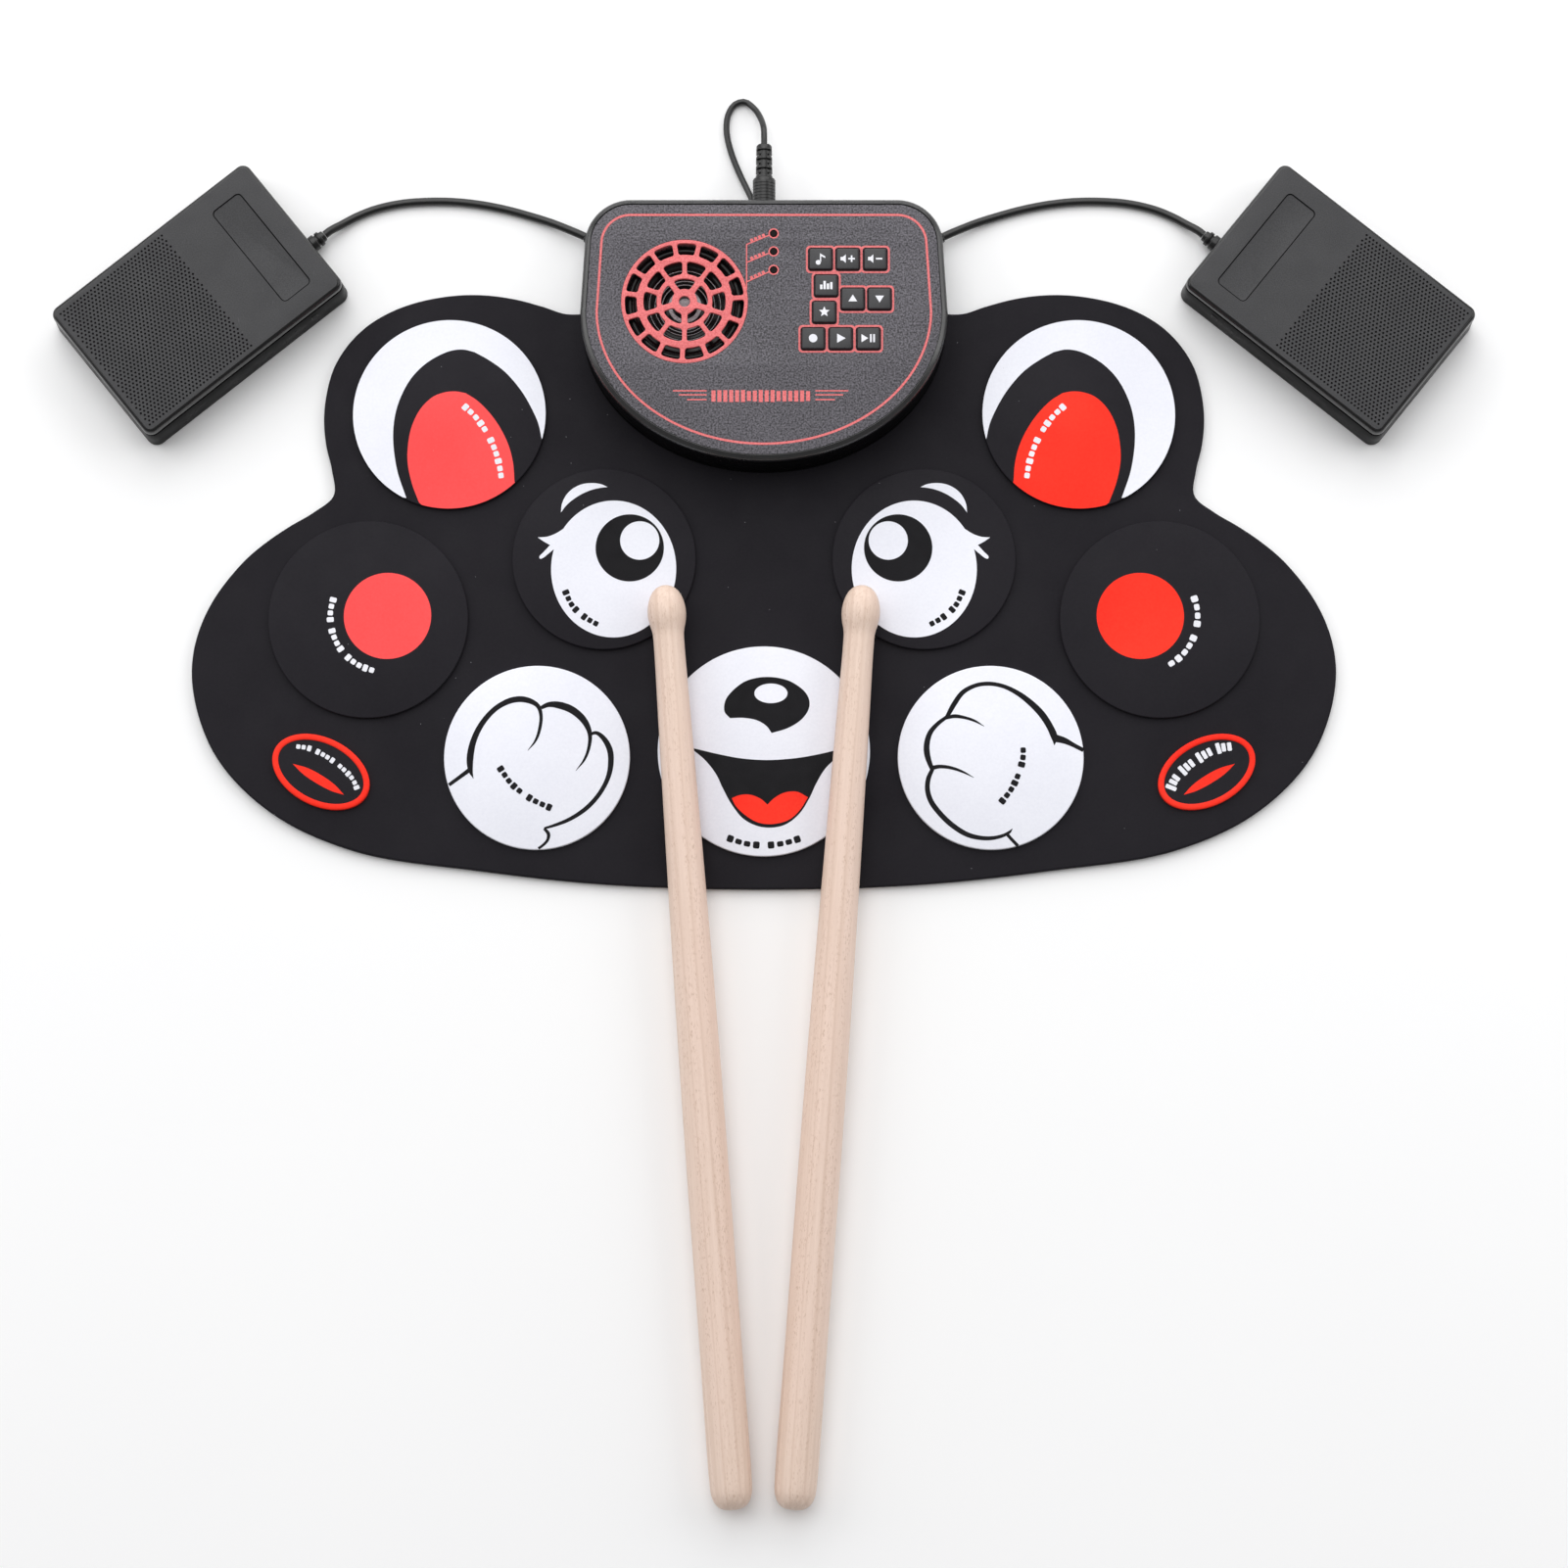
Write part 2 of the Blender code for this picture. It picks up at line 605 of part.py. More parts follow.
def make_cover():
    cover = solid_plate(
        "console_cover", CONSOLE_OUTLINE, BASE_HEIGHT + GAP, CONSOLE_HEIGHT, BLACK_ABS)
    round_top_edge(cover, CONSOLE_HEIGHT, CONSOLE_TOP_EDGE)
    over = CONSOLE_HEIGHT + MM
    under = BASE_HEIGHT - MM
    hollows = [
        ("cover_hollow", CONSOLE_WALL, under, LEDGE_BOTTOM),
        ("cover_opening", LEDGE_INSET, LEDGE_BOTTOM - MM, over),
        ("faceplate_seat", FACEPLATE_INSET - GAP, LEDGE_TOP, over),
    ]
    for name, distance, bottom, top in hollows:
        hollow = inset(CONSOLE_OUTLINE, distance)
        combine(cover, solid_plate(name, hollow, bottom, top, None, CUTTERS))
    for index, (x, y) in enumerate(screw_points()):
        boss = rod(
            f"cover_boss_{index}", (x, y, BASE_FLOOR_TOP + GAP), (x, y, LEDGE_BOTTOM + MM),
            BOSS_RADIUS, None, CUTTERS, 14,
        )
        combine(cover, boss, "UNION")
        pilot = rod(
            f"cover_pilot_{index}", (x, y, 0.0), (x, y, SCREW_TIP + MM),
            SCREW_SHAFT_RADIUS + GAP, None, CUTTERS, 10,
        )
        combine(cover, pilot)
    socket_hole = rod(
        "socket_hole", (PLUG_X, SOCKET_HIGH[1], PLUG_Z), (PLUG_X, CONSOLE_BACK_Y + MM, PLUG_Z),
        SOCKET_HOLE_RADIUS, None, CUTTERS,
    )
    combine(cover, socket_hole)
    knob_slot = block(
        "knob_slot",
        (KNOB_LOW[0] - KNOB_CLEARANCE, SWITCH_HIGH[1], KNOB_LOW[2] - KNOB_CLEARANCE),
        (
            KNOB_HIGH[0] + KNOB_TRAVEL + KNOB_CLEARANCE,
            CONSOLE_BACK_Y + MM,
            KNOB_HIGH[2] + KNOB_CLEARANCE,
        ),
        None,
        CUTTERS,
    )
    combine(cover, knob_slot)


def console_glands():
    """Name, point on the outer wall and outward direction of each gland of the console."""
    entries = [("lead_gland", Vector((LEAD_GLAND_X, CONSOLE_BACK_Y, GLAND_Z)), Vector((0, 1, 0)))]
    for name, side in (("left_cable_gland", -1), ("right_cable_gland", 1)):
        outwards = Vector((side * math.cos(CABLE_ENTRY), math.sin(CABLE_ENTRY), 0))
        centre = Vector((side * CONSOLE_CORNER_CENTRE.x, CONSOLE_CORNER_CENTRE.y, GLAND_Z))
        entries.append((name, centre + outwards * CONSOLE_CORNER, outwards))
    return entries


def make_base():
    base = solid_plate("console_base", CONSOLE_OUTLINE, 0.0, BASE_HEIGHT, BLACK_ABS)
    inner = inset(CONSOLE_OUTLINE, CONSOLE_WALL)
    pocket = [point for point in inner if point.y > BASE_STEP_Y + MM]
    combine(base, solid_plate(
        "base_hollow", inner, BASE_FLOOR_TOP, BASE_HEIGHT + MM, None, CUTTERS))
    combine(base, solid_plate(
        "base_pocket", pocket, BASE_POCKET_FLOOR, BASE_FLOOR_TOP + MM, None, CUTTERS))
    wide = CONSOLE_HALF_WIDTH + MM
    combine(base, block(
        "mat_recess", (-wide, 0.0, -MM), (wide, BASE_STEP_Y, BASE_FLOOR_BOTTOM), None, CUTTERS))
    for index, (x, y) in enumerate(screw_points()):
        combine(base, rod(
            f"base_counterbore_{index}", (x, y, 0.0), (x, y, SCREW_HEAD_TOP + GAP),
            SCREW_HEAD_RADIUS + GAP, None, CUTTERS, 14))
        combine(base, rod(
            f"base_hole_{index}", (x, y, 0.0), (x, y, BASE_HEIGHT + MM),
            SCREW_SHAFT_RADIUS + GAP, None, CUTTERS, 10))
    for name, point, outwards in console_glands():
        combine(base, rod(
            f"{name}_hole", point - outwards * 2 * CONSOLE_WALL, point + outwards * MM,
            RELIEF_HOLE_RADIUS, None, CUTTERS, 14))


def make_glands():
    """Grommets that hold the cords in the console's back wall."""
    for name, point, outwards in console_glands():
        neck = RELIEF_HOLE_RADIUS - GAP
        tip_radius = LEAD_RADIUS if name == "lead_gland" else CABLE_RADIUS
        gland = turned(name, [
            (0.0, 2.8 * MM), (tip_radius + 0.3 * MM, 2.8 * MM), (2.6 * MM, 1.6 * MM),
            (2.8 * MM, GAP), (neck, GAP), (neck, -4 * MM), (0.0, -4 * MM),
        ], CABLE_PVC, 14)
        aim(gland, point, outwards)


def make_case_screws():
    for index, (x, y) in enumerate(screw_points()):
        screw = turned(f"case_screw_{index + 1}", [
            (0.0, SCREW_TIP), (0.5 * MM, SCREW_TIP), (SCREW_SHAFT_RADIUS, SCREW_TIP - MM),
            (SCREW_SHAFT_RADIUS, SCREW_HEAD_TOP), (SCREW_HEAD_RADIUS, SCREW_HEAD_TOP),
            (SCREW_HEAD_RADIUS, SCREW_HEAD_BOTTOM), (0.0, SCREW_HEAD_BOTTOM),
        ], PLATED_STEEL, 12)
        screw.location = (x, y, 0.0)


def make_speaker():
    frame = turned("speaker_frame", [
        (25.6 * MM, 25.6 * MM), (27.6 * MM, 25.6 * MM), (27.6 * MM, 24.2 * MM),
        (26.9 * MM, 23.6 * MM), (18.3 * MM, 14.0 * MM), (9.0 * MM, 14.0 * MM),
        (9.0 * MM, 15.2 * MM), (17.0 * MM, 15.2 * MM), (25.6 * MM, 23.4 * MM),
        (25.6 * MM, 25.6 * MM),
    ], PLATED_STEEL, 24)
    cone = turned("speaker_cone", [
        (0.0, 20.2 * MM), (4.0 * MM, 19.6 * MM), (7.0 * MM, 17.6 * MM), (8.0 * MM, 17.2 * MM),
        (20.0 * MM, 22.6 * MM), (21.8 * MM, 23.8 * MM), (23.6 * MM, 23.4 * MM),
        (23.8 * MM, 22.8 * MM), (21.6 * MM, 21.6 * MM), (8.0 * MM, 15.9 * MM), (0.0, 15.9 * MM),
    ], SPEAKER_PAPER, 24)
    magnet = turned("speaker_magnet", [
        (0.0, 13.7 * MM), (13.0 * MM, 13.7 * MM), (13.4 * MM, 13.3 * MM), (13.4 * MM, 7.4 * MM),
        (13.0 * MM, 7.0 * MM), (0.0, 7.0 * MM),
    ], PLATED_STEEL, 20)
    for piece in (frame, cone, magnet):
        piece.location = (SPEAKER_X, SPEAKER_Y, 0.0)


def key_mesh():
    """Cap, retaining flange and stem of one key about its own centre."""
    cap = solid_plate(
        "key_cap", rounded_rectangle(0, 0, KEY_WIDTH, KEY_DEPTH, KEY_CORNER),
        KEY_FLANGE_BOTTOM + GAP, KEY_TOP, None,
    )
    round_top_edge(cap, KEY_TOP, 0.4 * MM)
    flange = solid_plate(
        "key_flange",
        rounded_rectangle(
            0, 0, KEY_WIDTH + 2 * KEY_FLANGE, KEY_DEPTH + 2 * KEY_FLANGE, KEY_CORNER),
        KEY_FLANGE_BOTTOM, KEY_FLANGE_TOP, None,
    )
    stem = block(
        "key_stem", (-KEY_STEM / 2, -KEY_STEM / 2, KEY_STEM_BOTTOM),
        (KEY_STEM / 2, KEY_STEM / 2, KEY_FLANGE_TOP - GAP), None,
    )
    combine(cap, flange, "UNION")
    combine(cap, stem, "UNION")
    bpy.context.view_layer.update()
    graph = bpy.context.evaluated_depsgraph_get()
    mesh = bpy.data.meshes.new_from_object(cap.evaluated_get(graph))
    mesh.materials.append(KEY_RUBBER)
    for obj in (cap, flange, stem):
        bpy.data.objects.remove(obj, do_unlink=True)
    return mesh


def make_keys():
    mesh = key_mesh()
    for name, x, y in KEYS_MM:
        key = bpy.data.objects.new(name, mesh)
        PARTS.objects.link(key)
        key.location = (x * MM, y * MM, 0.0)


def make_electronics():
    block("main_board", BOARD_LOW, BOARD_HIGH, BOARD_LAMINATE)
    block("keypad_sheet", KEYPAD_LOW, KEYPAD_HIGH, KEY_RUBBER)
    block("battery_cell", BATTERY_LOW, BATTERY_HIGH, BATTERY_WRAP)
    light = block(
        "light_pipe",
        (LIGHT_X - 1.6 * MM, LIGHT_YS[2] - 2 * MM, LIGHT_BAR_BOTTOM),
        (LIGHT_X + 1.6 * MM, LIGHT_YS[0] + 2 * MM, LIGHT_BAR_TOP),
        CLEAR_PLASTIC,
    )
    for index, y in enumerate(LIGHT_YS):
        combine(light, rod(
            f"light_post_{index}", (LIGHT_X, y, LIGHT_BAR_TOP - MM), (LIGHT_X, y, FACEPLATE_TOP),
            LIGHT_POST_RADIUS, None, CUTTERS, 12), "UNION")
    socket = block("dc_socket", SOCKET_LOW, SOCKET_HIGH, BLACK_ABS)
    combine(socket, rod(
        "socket_bore",
        (PLUG_X, SOCKET_LOW[1] + MM, PLUG_Z), (PLUG_X, SOCKET_HIGH[1] + MM, PLUG_Z),
        SOCKET_BORE_RADIUS, None, CUTTERS, 16))
    block("power_switch", SWITCH_LOW, SWITCH_HIGH, BLACK_ABS)
    block("power_knob", KNOB_LOW, KNOB_HIGH, BLACK_ABS)


def make_lead():
    """The plug in the power socket, and its lead round to the gland beside it."""
    grip_end = PLUG_GRIP_LENGTH + GAP
    tip = grip_end + PLUG_RELIEF_LENGTH
    plug = turned("lead_plug", [
        (0.0, tip), (2.7 * MM, tip), (3.3 * MM, tip - 0.8 * MM), (3.5 * MM, grip_end),
        (4.3 * MM, grip_end), (PLUG_GRIP_RADIUS, grip_end - 1.2 * MM),
        (PLUG_GRIP_RADIUS, GAP + 0.5 * MM), (4.3 * MM, GAP), (PLUG_BARREL_RADIUS, GAP),
        (PLUG_BARREL_RADIUS, -PLUG_BARREL_LENGTH), (0.0, -PLUG_BARREL_LENGTH),
    ], CABLE_PVC, 16)
    wall = Vector((PLUG_X, CONSOLE_BACK_Y, PLUG_Z))
    aim(plug, wall, (0, 1, 0))
    gland = Vector((LEAD_GLAND_X, CONSOLE_BACK_Y + 2.8 * MM + GAP, GLAND_Z))
    back = Vector((0, 1, 0))
    start = wall + back * (tip + GAP)
    route = cord_route(start, back, LEAD_ROUTE_MM, gland, back)
    tube("link_lead", smooth_curve(route, 5 * LEAD_RADIUS), LEAD_RADIUS, CABLE_PVC)


def pedal_prism(name, distance, bottom, top, material, group=PARTS):
    """A rounded block as large as the pedal, less the distance all round."""
    outline = rounded_rectangle(
        0, 0, PEDAL_LENGTH - 2 * distance, PEDAL_WIDTH - 2 * distance,
        max(PEDAL_CORNER - distance, MM), 4,
    )
    return solid_plate(name, outline, bottom, top, material, group)


def make_pedal_base(word, frame, side):
    """A tray with two bearing blocks on its side walls for the treadle's trunnions."""
    base = pedal_prism(f"{word}_pedal_base", 0.0, 0.0, PEDAL_BASE_HEIGHT, PEDAL_ABS)
    hollow = pedal_prism(
        f"{word}_base_hollow", PEDAL_WALL, PEDAL_FLOOR, PEDAL_BASE_HEIGHT + MM, None, CUTTERS)
    relief_y = -side * RELIEF_Y
    relief_hole = rod(
        f"{word}_relief_hole", (PEDAL_LENGTH / 2 - 8 * MM, relief_y, RELIEF_Z),
        (PEDAL_LENGTH / 2 + MM, relief_y, RELIEF_Z), RELIEF_HOLE_RADIUS, None, CUTTERS, 14,
    )
    combine(base, hollow)
    combine(base, relief_hole)
    helpers = [hollow, relief_hole]
    for index, end in enumerate((-1, 1)):
        across = sorted((end * BEARING_INNER_Y, end * (PEDAL_WIDTH / 2 - MM)))
        bearing = block(
            f"{word}_bearing_{index}",
            (PIVOT_X - BEARING_LENGTH / 2, across[0], PEDAL_FLOOR - MM),
            (PIVOT_X + BEARING_LENGTH / 2, across[1], BEARING_TOP),
            None,
            CUTTERS,
        )
        socket = rod(
            f"{word}_bearing_bore_{index}", (PIVOT_X, end * (BEARING_INNER_Y - MM), PIVOT_Z),
            (PIVOT_X, end * (TRUNNION_END_Y + TRUNNION_CLEARANCE), PIVOT_Z),
            TRUNNION_RADIUS + TRUNNION_CLEARANCE, None, CUTTERS, 16,
        )
        combine(base, bearing, "UNION")
        combine(base, socket)
        helpers += [bearing, socket]
    attach(frame, base, *helpers)


def make_treadle(word, frame):
    """The lid that the foot presses, with the lugs and trunnions that it rocks on."""
    bottom = PEDAL_BASE_HEIGHT + PEDAL_SEAM
    ceiling = PEDAL_HEIGHT - PEDAL_SHELL
    treadle = pedal_prism(f"{word}_treadle", 0.0, bottom, PEDAL_HEIGHT, PEDAL_ABS)
    round_top_edge(treadle, PEDAL_HEIGHT, 1.5 * MM)
    hollow = pedal_prism(
        f"{word}_treadle_hollow", PEDAL_SHELL, bottom - MM, ceiling, None, CUTTERS)
    label = solid_plate(
        f"{word}_label_recess",
        rounded_rectangle(LABEL_X, 0, LABEL_WIDTH, LABEL_LENGTH, 2 * MM, 4),
        PEDAL_HEIGHT - LABEL_DEPTH, PEDAL_HEIGHT + MM, None, CUTTERS,
    )
    pusher = rod(
        f"{word}_pusher", (FOOT_SWITCH_X, 0, PUSHER_BOTTOM), (FOOT_SWITCH_X, 0, ceiling + MM),
        PUSHER_RADIUS, None, CUTTERS, 12,
    )
    combine(treadle, hollow)
    combine(treadle, label)
    combine(treadle, pusher, "UNION")
    helpers = [hollow, label, pusher]
    for index, end in enumerate((-1, 1)):
        across = sorted((end * LUG_INNER_Y, end * LUG_OUTER_Y))
        lug = block(
            f"{word}_lug_{index}",
            (PIVOT_X - LUG_LENGTH / 2, across[0], PIVOT_Z - LUG_LENGTH / 2),
            (PIVOT_X + LUG_LENGTH / 2, across[1], ceiling + MM),
            None,
            CUTTERS,
        )
        trunnion = rod(
            f"{word}_trunnion_{index}", (PIVOT_X, end * (LUG_INNER_Y + MM), PIVOT_Z),
            (PIVOT_X, end * TRUNNION_END_Y, PIVOT_Z), TRUNNION_RADIUS, None, CUTTERS, 12,
        )
        combine(treadle, lug, "UNION")
        combine(treadle, trunnion, "UNION")
        helpers += [lug, trunnion]
    treadle.data.transform(Matrix.Translation((-PIVOT_X, 0, -PIVOT_Z)))
    treadle.location = (PIVOT_X, 0, PIVOT_Z)
    attach(frame, treadle, *helpers)


def make_pedal_works(word, frame, side):
    """The return spring and the switch under the treadle, and the cable's strain relief."""
    low = PEDAL_FLOOR + GAP + SPRING_WIRE
    high = PEDAL_HEIGHT - PEDAL_SHELL - GAP - SPRING_WIRE
    coil = []
    steps = 8 * SPRING_TURNS
    for step in range(steps + 1):
        turn = math.tau * step / 8
        coil.append(Vector((
            SPRING_X + SPRING_RADIUS * math.cos(turn),
            SPRING_RADIUS * math.sin(turn),
            low + (high - low) * step / steps,
        )))
    spring = tube(f"{word}_return_spring", coil, SPRING_WIRE, PLATED_STEEL)
    half = FOOT_SWITCH_SIZE / 2
    switch = block(
        f"{word}_foot_switch", (FOOT_SWITCH_X - half, -half, PEDAL_FLOOR + GAP),
        (FOOT_SWITCH_X + half, half, FOOT_SWITCH_TOP), BLACK_ABS,
    )
    cap = rod(
        f"{word}_switch_cap", (FOOT_SWITCH_X, 0, FOOT_SWITCH_TOP - MM),
        (FOOT_SWITCH_X, 0, FOOT_SWITCH_CAP_TOP), FOOT_SWITCH_CAP_RADIUS, None, CUTTERS, 16,
    )
    combine(switch, cap, "UNION")
    neck = RELIEF_HOLE_RADIUS - GAP
    relief = turned(f"{word}_strain_relief", [
        (0.0, 6.8 * MM), (2.4 * MM, 6.8 * MM), (2.7 * MM, 6.4 * MM), (2.7 * MM, 3.8 * MM),
        (3.4 * MM, 3.8 * MM), (3.4 * MM, GAP), (neck, GAP), (neck, -5.6 * MM), (0.0, -5.6 * MM),
    ], CABLE_PVC, 14)
    relief_point = Vector((PEDAL_LENGTH / 2, -side * RELIEF_Y, RELIEF_Z))
    aim(relief, relief_point, (1, 0, 0))
    attach(frame, spring, switch, cap, relief)
    along = Vector((1, 0, 0))
    start = frame.matrix_basis @ (relief_point + along * (6.8 * MM + GAP))
    return start, frame.matrix_basis.to_3x3() @ along


def make_pedal(word, side):
    """Side is -1 for the left pedal and 1 for the right one, which mirrors it."""
    frame = bpy.data.objects.new(f"{word}_pedal_frame", None)
    PARTS.objects.link(frame)
    frame.location = (side * PEDAL_X, PEDAL_Y, 0)
    frame.rotation_euler.z = PEDAL_TURN if side < 0 else math.pi - PEDAL_TURN
    make_pedal_base(word, frame, -side)
    make_treadle(word, frame)
    start, start_way = make_pedal_works(word, frame, -side)
    middle = [(-side * x, y, z) for x, y, z in CABLE_ROUTE_MM]
    _, wall, outwards = next(
        gland for gland in console_glands() if gland[0] == f"{word}_cable_gland")
    end = wall + outwards * (2.8 * MM + GAP)
    points = smooth_curve(
        cord_route(start, start_way, middle, end, outwards), 5 * CABLE_RADIUS)
    tube(f"{word}_pedal_cable", points, CABLE_RADIUS, CABLE_PVC)


def make_stick(word, side):
    mirror = Vector((-side, 1, 1))
    tip = Vector(STICK_TIP) * mirror
    butt = Vector(STICK_BUTT) * mirror
    profile = [(radius * MM, -along * MM) for along, radius in STICK_PROFILE_MM]
    stick = turned(f"{word}_drumstick", profile, MAPLE, 16)
    aim(stick, tip, tip - butt)


make_mat()
make_pads()
make_faceplate()
make_cover()
make_base()
make_glands()
make_case_screws()
make_speaker()
make_keys()
make_electronics()
make_lead()
for WORD, SIDE in (("left", -1), ("right", 1)):
    make_pedal(WORD, SIDE)
    make_stick(WORD, SIDE)
bpy.context.view_layer.update()
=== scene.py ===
"""Looks of the electronic drum pad: its fine meshes, artwork, materials, cords, light and camera.

The script works in metres. A length is written in millimetres: times MM where it is used, or bare
in a profile or table that a function scales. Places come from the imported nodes. +X is the player's
right, +Y points away from the player and +Z is up.
"""

import json
import math
import random

import bmesh
import bpy
from mathutils import Matrix, Vector

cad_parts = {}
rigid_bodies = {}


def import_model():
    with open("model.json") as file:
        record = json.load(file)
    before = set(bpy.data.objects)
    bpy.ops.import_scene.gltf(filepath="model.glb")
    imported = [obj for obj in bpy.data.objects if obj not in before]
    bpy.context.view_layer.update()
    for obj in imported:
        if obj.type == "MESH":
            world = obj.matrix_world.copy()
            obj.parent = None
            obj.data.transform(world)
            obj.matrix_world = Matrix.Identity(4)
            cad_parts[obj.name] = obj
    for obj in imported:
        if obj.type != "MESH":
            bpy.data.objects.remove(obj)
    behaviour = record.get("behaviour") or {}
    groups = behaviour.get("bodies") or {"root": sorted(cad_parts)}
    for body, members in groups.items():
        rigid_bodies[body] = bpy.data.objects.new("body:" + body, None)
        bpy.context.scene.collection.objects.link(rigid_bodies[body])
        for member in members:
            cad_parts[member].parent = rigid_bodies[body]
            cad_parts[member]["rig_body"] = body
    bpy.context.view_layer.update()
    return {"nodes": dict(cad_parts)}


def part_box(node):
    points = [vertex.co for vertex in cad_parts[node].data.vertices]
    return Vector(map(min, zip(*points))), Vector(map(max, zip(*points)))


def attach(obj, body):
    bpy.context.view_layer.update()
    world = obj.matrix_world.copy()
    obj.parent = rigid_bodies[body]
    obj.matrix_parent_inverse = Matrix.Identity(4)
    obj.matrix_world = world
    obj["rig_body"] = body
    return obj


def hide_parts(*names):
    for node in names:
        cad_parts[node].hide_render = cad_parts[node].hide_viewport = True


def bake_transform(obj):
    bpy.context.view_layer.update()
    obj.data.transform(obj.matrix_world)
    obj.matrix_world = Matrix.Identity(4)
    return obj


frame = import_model()

MM = 0.001
UP = Vector((0, 0, 1))


# ---------------------------------------------------------------- outlines


def arc(x, y, radius, start, end, steps):
    """Points along an arc, with both ends; the angles are in degrees."""
    points = []
    for step in range(steps + 1):
        turn = math.radians(start + (end - start) * step / steps)
        points.append(Vector((x + radius * math.cos(turn), y + radius * math.sin(turn))))
    return points


def ellipse(x, y, half_length, half_width, count=96, tilt=0.0):
    """Points round an ellipse; the tilt is in radians."""
    points = []
    for index in range(count):
        turn = math.tau * index / count
        point = Vector((half_length * math.cos(turn), half_width * math.sin(turn)))
        points.append(Matrix.Rotation(tilt, 2) @ point + Vector((x, y)))
    return points


def rounded_rectangle(x, y, length, width, corner, steps):
    points = []
    for quarter in range(4):
        sign_x = 1 if quarter in (0, 3) else -1
        sign_y = 1 if quarter in (0, 1) else -1
        points += arc(
            x + sign_x * (length / 2 - corner), y + sign_y * (width / 2 - corner),
            corner, 90 * quarter, 90 * quarter + 90, steps,
        )
    return points


def smooth_curve(points, spacing, closed=False):
    """Evenly spaced points along a centripetal Catmull-Rom curve through the given points."""
    count = len(points)
    if closed:
        padded = [points[-1], *points, points[0], points[1]]
    else:
        padded = [2 * points[0] - points[1], *points, 2 * points[-1] - points[-2]]
    steps = 24
    fine = []
    for index in range(count if closed else count - 1):
        a, b, c, d = padded[index:index + 4]
        t1 = (b - a).length ** 0.5
        t2 = t1 + (c - b).length ** 0.5
        t3 = t2 + (d - c).length ** 0.5
        for step in range(steps):
            t = t1 + (t2 - t1) * step / steps
            ab = a.lerp(b, t / t1)
            bc = b.lerp(c, (t - t1) / (t2 - t1))
            cd = c.lerp(d, (t - t2) / (t3 - t2))
            abc = ab.lerp(bc, t / t2)
            bcd = bc.lerp(cd, (t - t1) / (t3 - t1))
            fine.append(abc.lerp(bcd, (t - t1) / (t2 - t1)))
    fine.append(points[0] if closed else points[-1])
    lengths = [0.0]
    for start, end in zip(fine, fine[1:]):
        lengths.append(lengths[-1] + (end - start).length)
    pieces = max(3, round(lengths[-1] / spacing))
    result = []
    place = 0
    for piece in range(pieces + (0 if closed else 1)):
        wanted = lengths[-1] * piece / pieces
        while place < len(fine) - 2 and lengths[place + 1] < wanted:
            place += 1
        part = (wanted - lengths[place]) / (lengths[place + 1] - lengths[place])
        result.append(fine[place].lerp(fine[place + 1], part))
    return result


def inset(outline, distance):
    """The counter-clockwise outline moved inwards by the distance."""
    moved = []
    for index, point in enumerate(outline):
        along = outline[(index + 1) % len(outline)] - outline[index - 1]
        moved.append(point + Vector((-along.y, along.x)).normalized() * distance)
    return moved


def ribbon(points, widths):
    """The outline of a brush stroke along the points, with a width at each of them."""
    line = smooth_curve([Vector((*point, width)) for point, width in zip(points, widths)], 0.7 * MM)
    sides = ([], [])
    for index, spot in enumerate(line):
        ahead = line[min(index + 1, len(line) - 1)] - line[max(index - 1, 0)]
        across = Vector((-ahead.y, ahead.x)).normalized() * max(spot.z, 0.05 * MM) / 2
        sides[0].append(spot.xy - across)
        sides[1].append(spot.xy + across)
    return sides[0] + sides[1][::-1]


def cad_outlines(node):
    """The outlines of the CAD node's flat top face, as loops of points; the longest comes first."""
    mesh = frame["nodes"][node].data
    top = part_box(node)[1].z
    sides = {}
    for polygon in mesh.polygons:
        corners = [mesh.vertices[index].co for index in polygon.vertices]
        if min(corner.z for corner in corners) < top - 0.01 * MM:
            continue
        keys = [(round(corner.x, 6), round(corner.y, 6)) for corner in corners]
        for start, end in zip(keys, keys[1:] + keys[:1]):
            sides[start, end] = True
    after = {start: end for start, end in sides if (end, start) not in sides}
    loops = []
    while after:
        key = next(iter(after))
        loop = []
        while key in after:
            loop.append(Vector(key))
            key = after.pop(key)
        loops.append(loop)
    return sorted(loops, key=len, reverse=True)


# ---------------------------------------------------------------- meshes


def new_object(name, data, *materials):
    """The data as an object in the scene: a mesh or curve with its materials, a light or a camera."""
    obj = bpy.data.objects.new(name, data)
    bpy.context.scene.collection.objects.link(obj)
    for material in materials:
        data.materials.append(material)
    return obj


def shade(mesh, angle=32):
    mesh.shade_smooth()
    mesh.set_sharp_from_angle(angle=math.radians(angle))


def loft(name, rings, *materials, closed=False, angle=32):
    """A skin over rings of equally many points, from the lowest up, each counter-clockwise from above.

    A closed loft joins its last ring to its first; another one gets a flat cap at either end.
    """
    count = len(rings[0])
    points = [tuple(point) for ring in rings for point in ring]
    faces = []
    for level in range(len(rings) if closed else len(rings) - 1):
        low = level * count
        high = (level + 1) % len(rings) * count
        for index in range(count):
            after = (index + 1) % count
            faces.append((low + index, low + after, high + after, high + index))
    if not closed:
        faces.append(tuple(range(count))[::-1])
        faces.append(tuple(range(len(points) - count, len(points))))
    mesh = bpy.data.meshes.new(name)
    mesh.from_pydata(points, [], faces)
    shade(mesh, angle)
    return new_object(name, mesh, *materials)


def at_height(outline, z):
    return [Vector((point.x, point.y, z)) for point in outline]


def shell(name, outline, profile, *materials, **options):
    """A loft over the outline. The profile lists (distance inwards, height) in millimetres."""
    rings = [at_height(inset(outline, into * MM), z * MM) for into, z in profile]
    return loft(name, rings, *materials, **options)


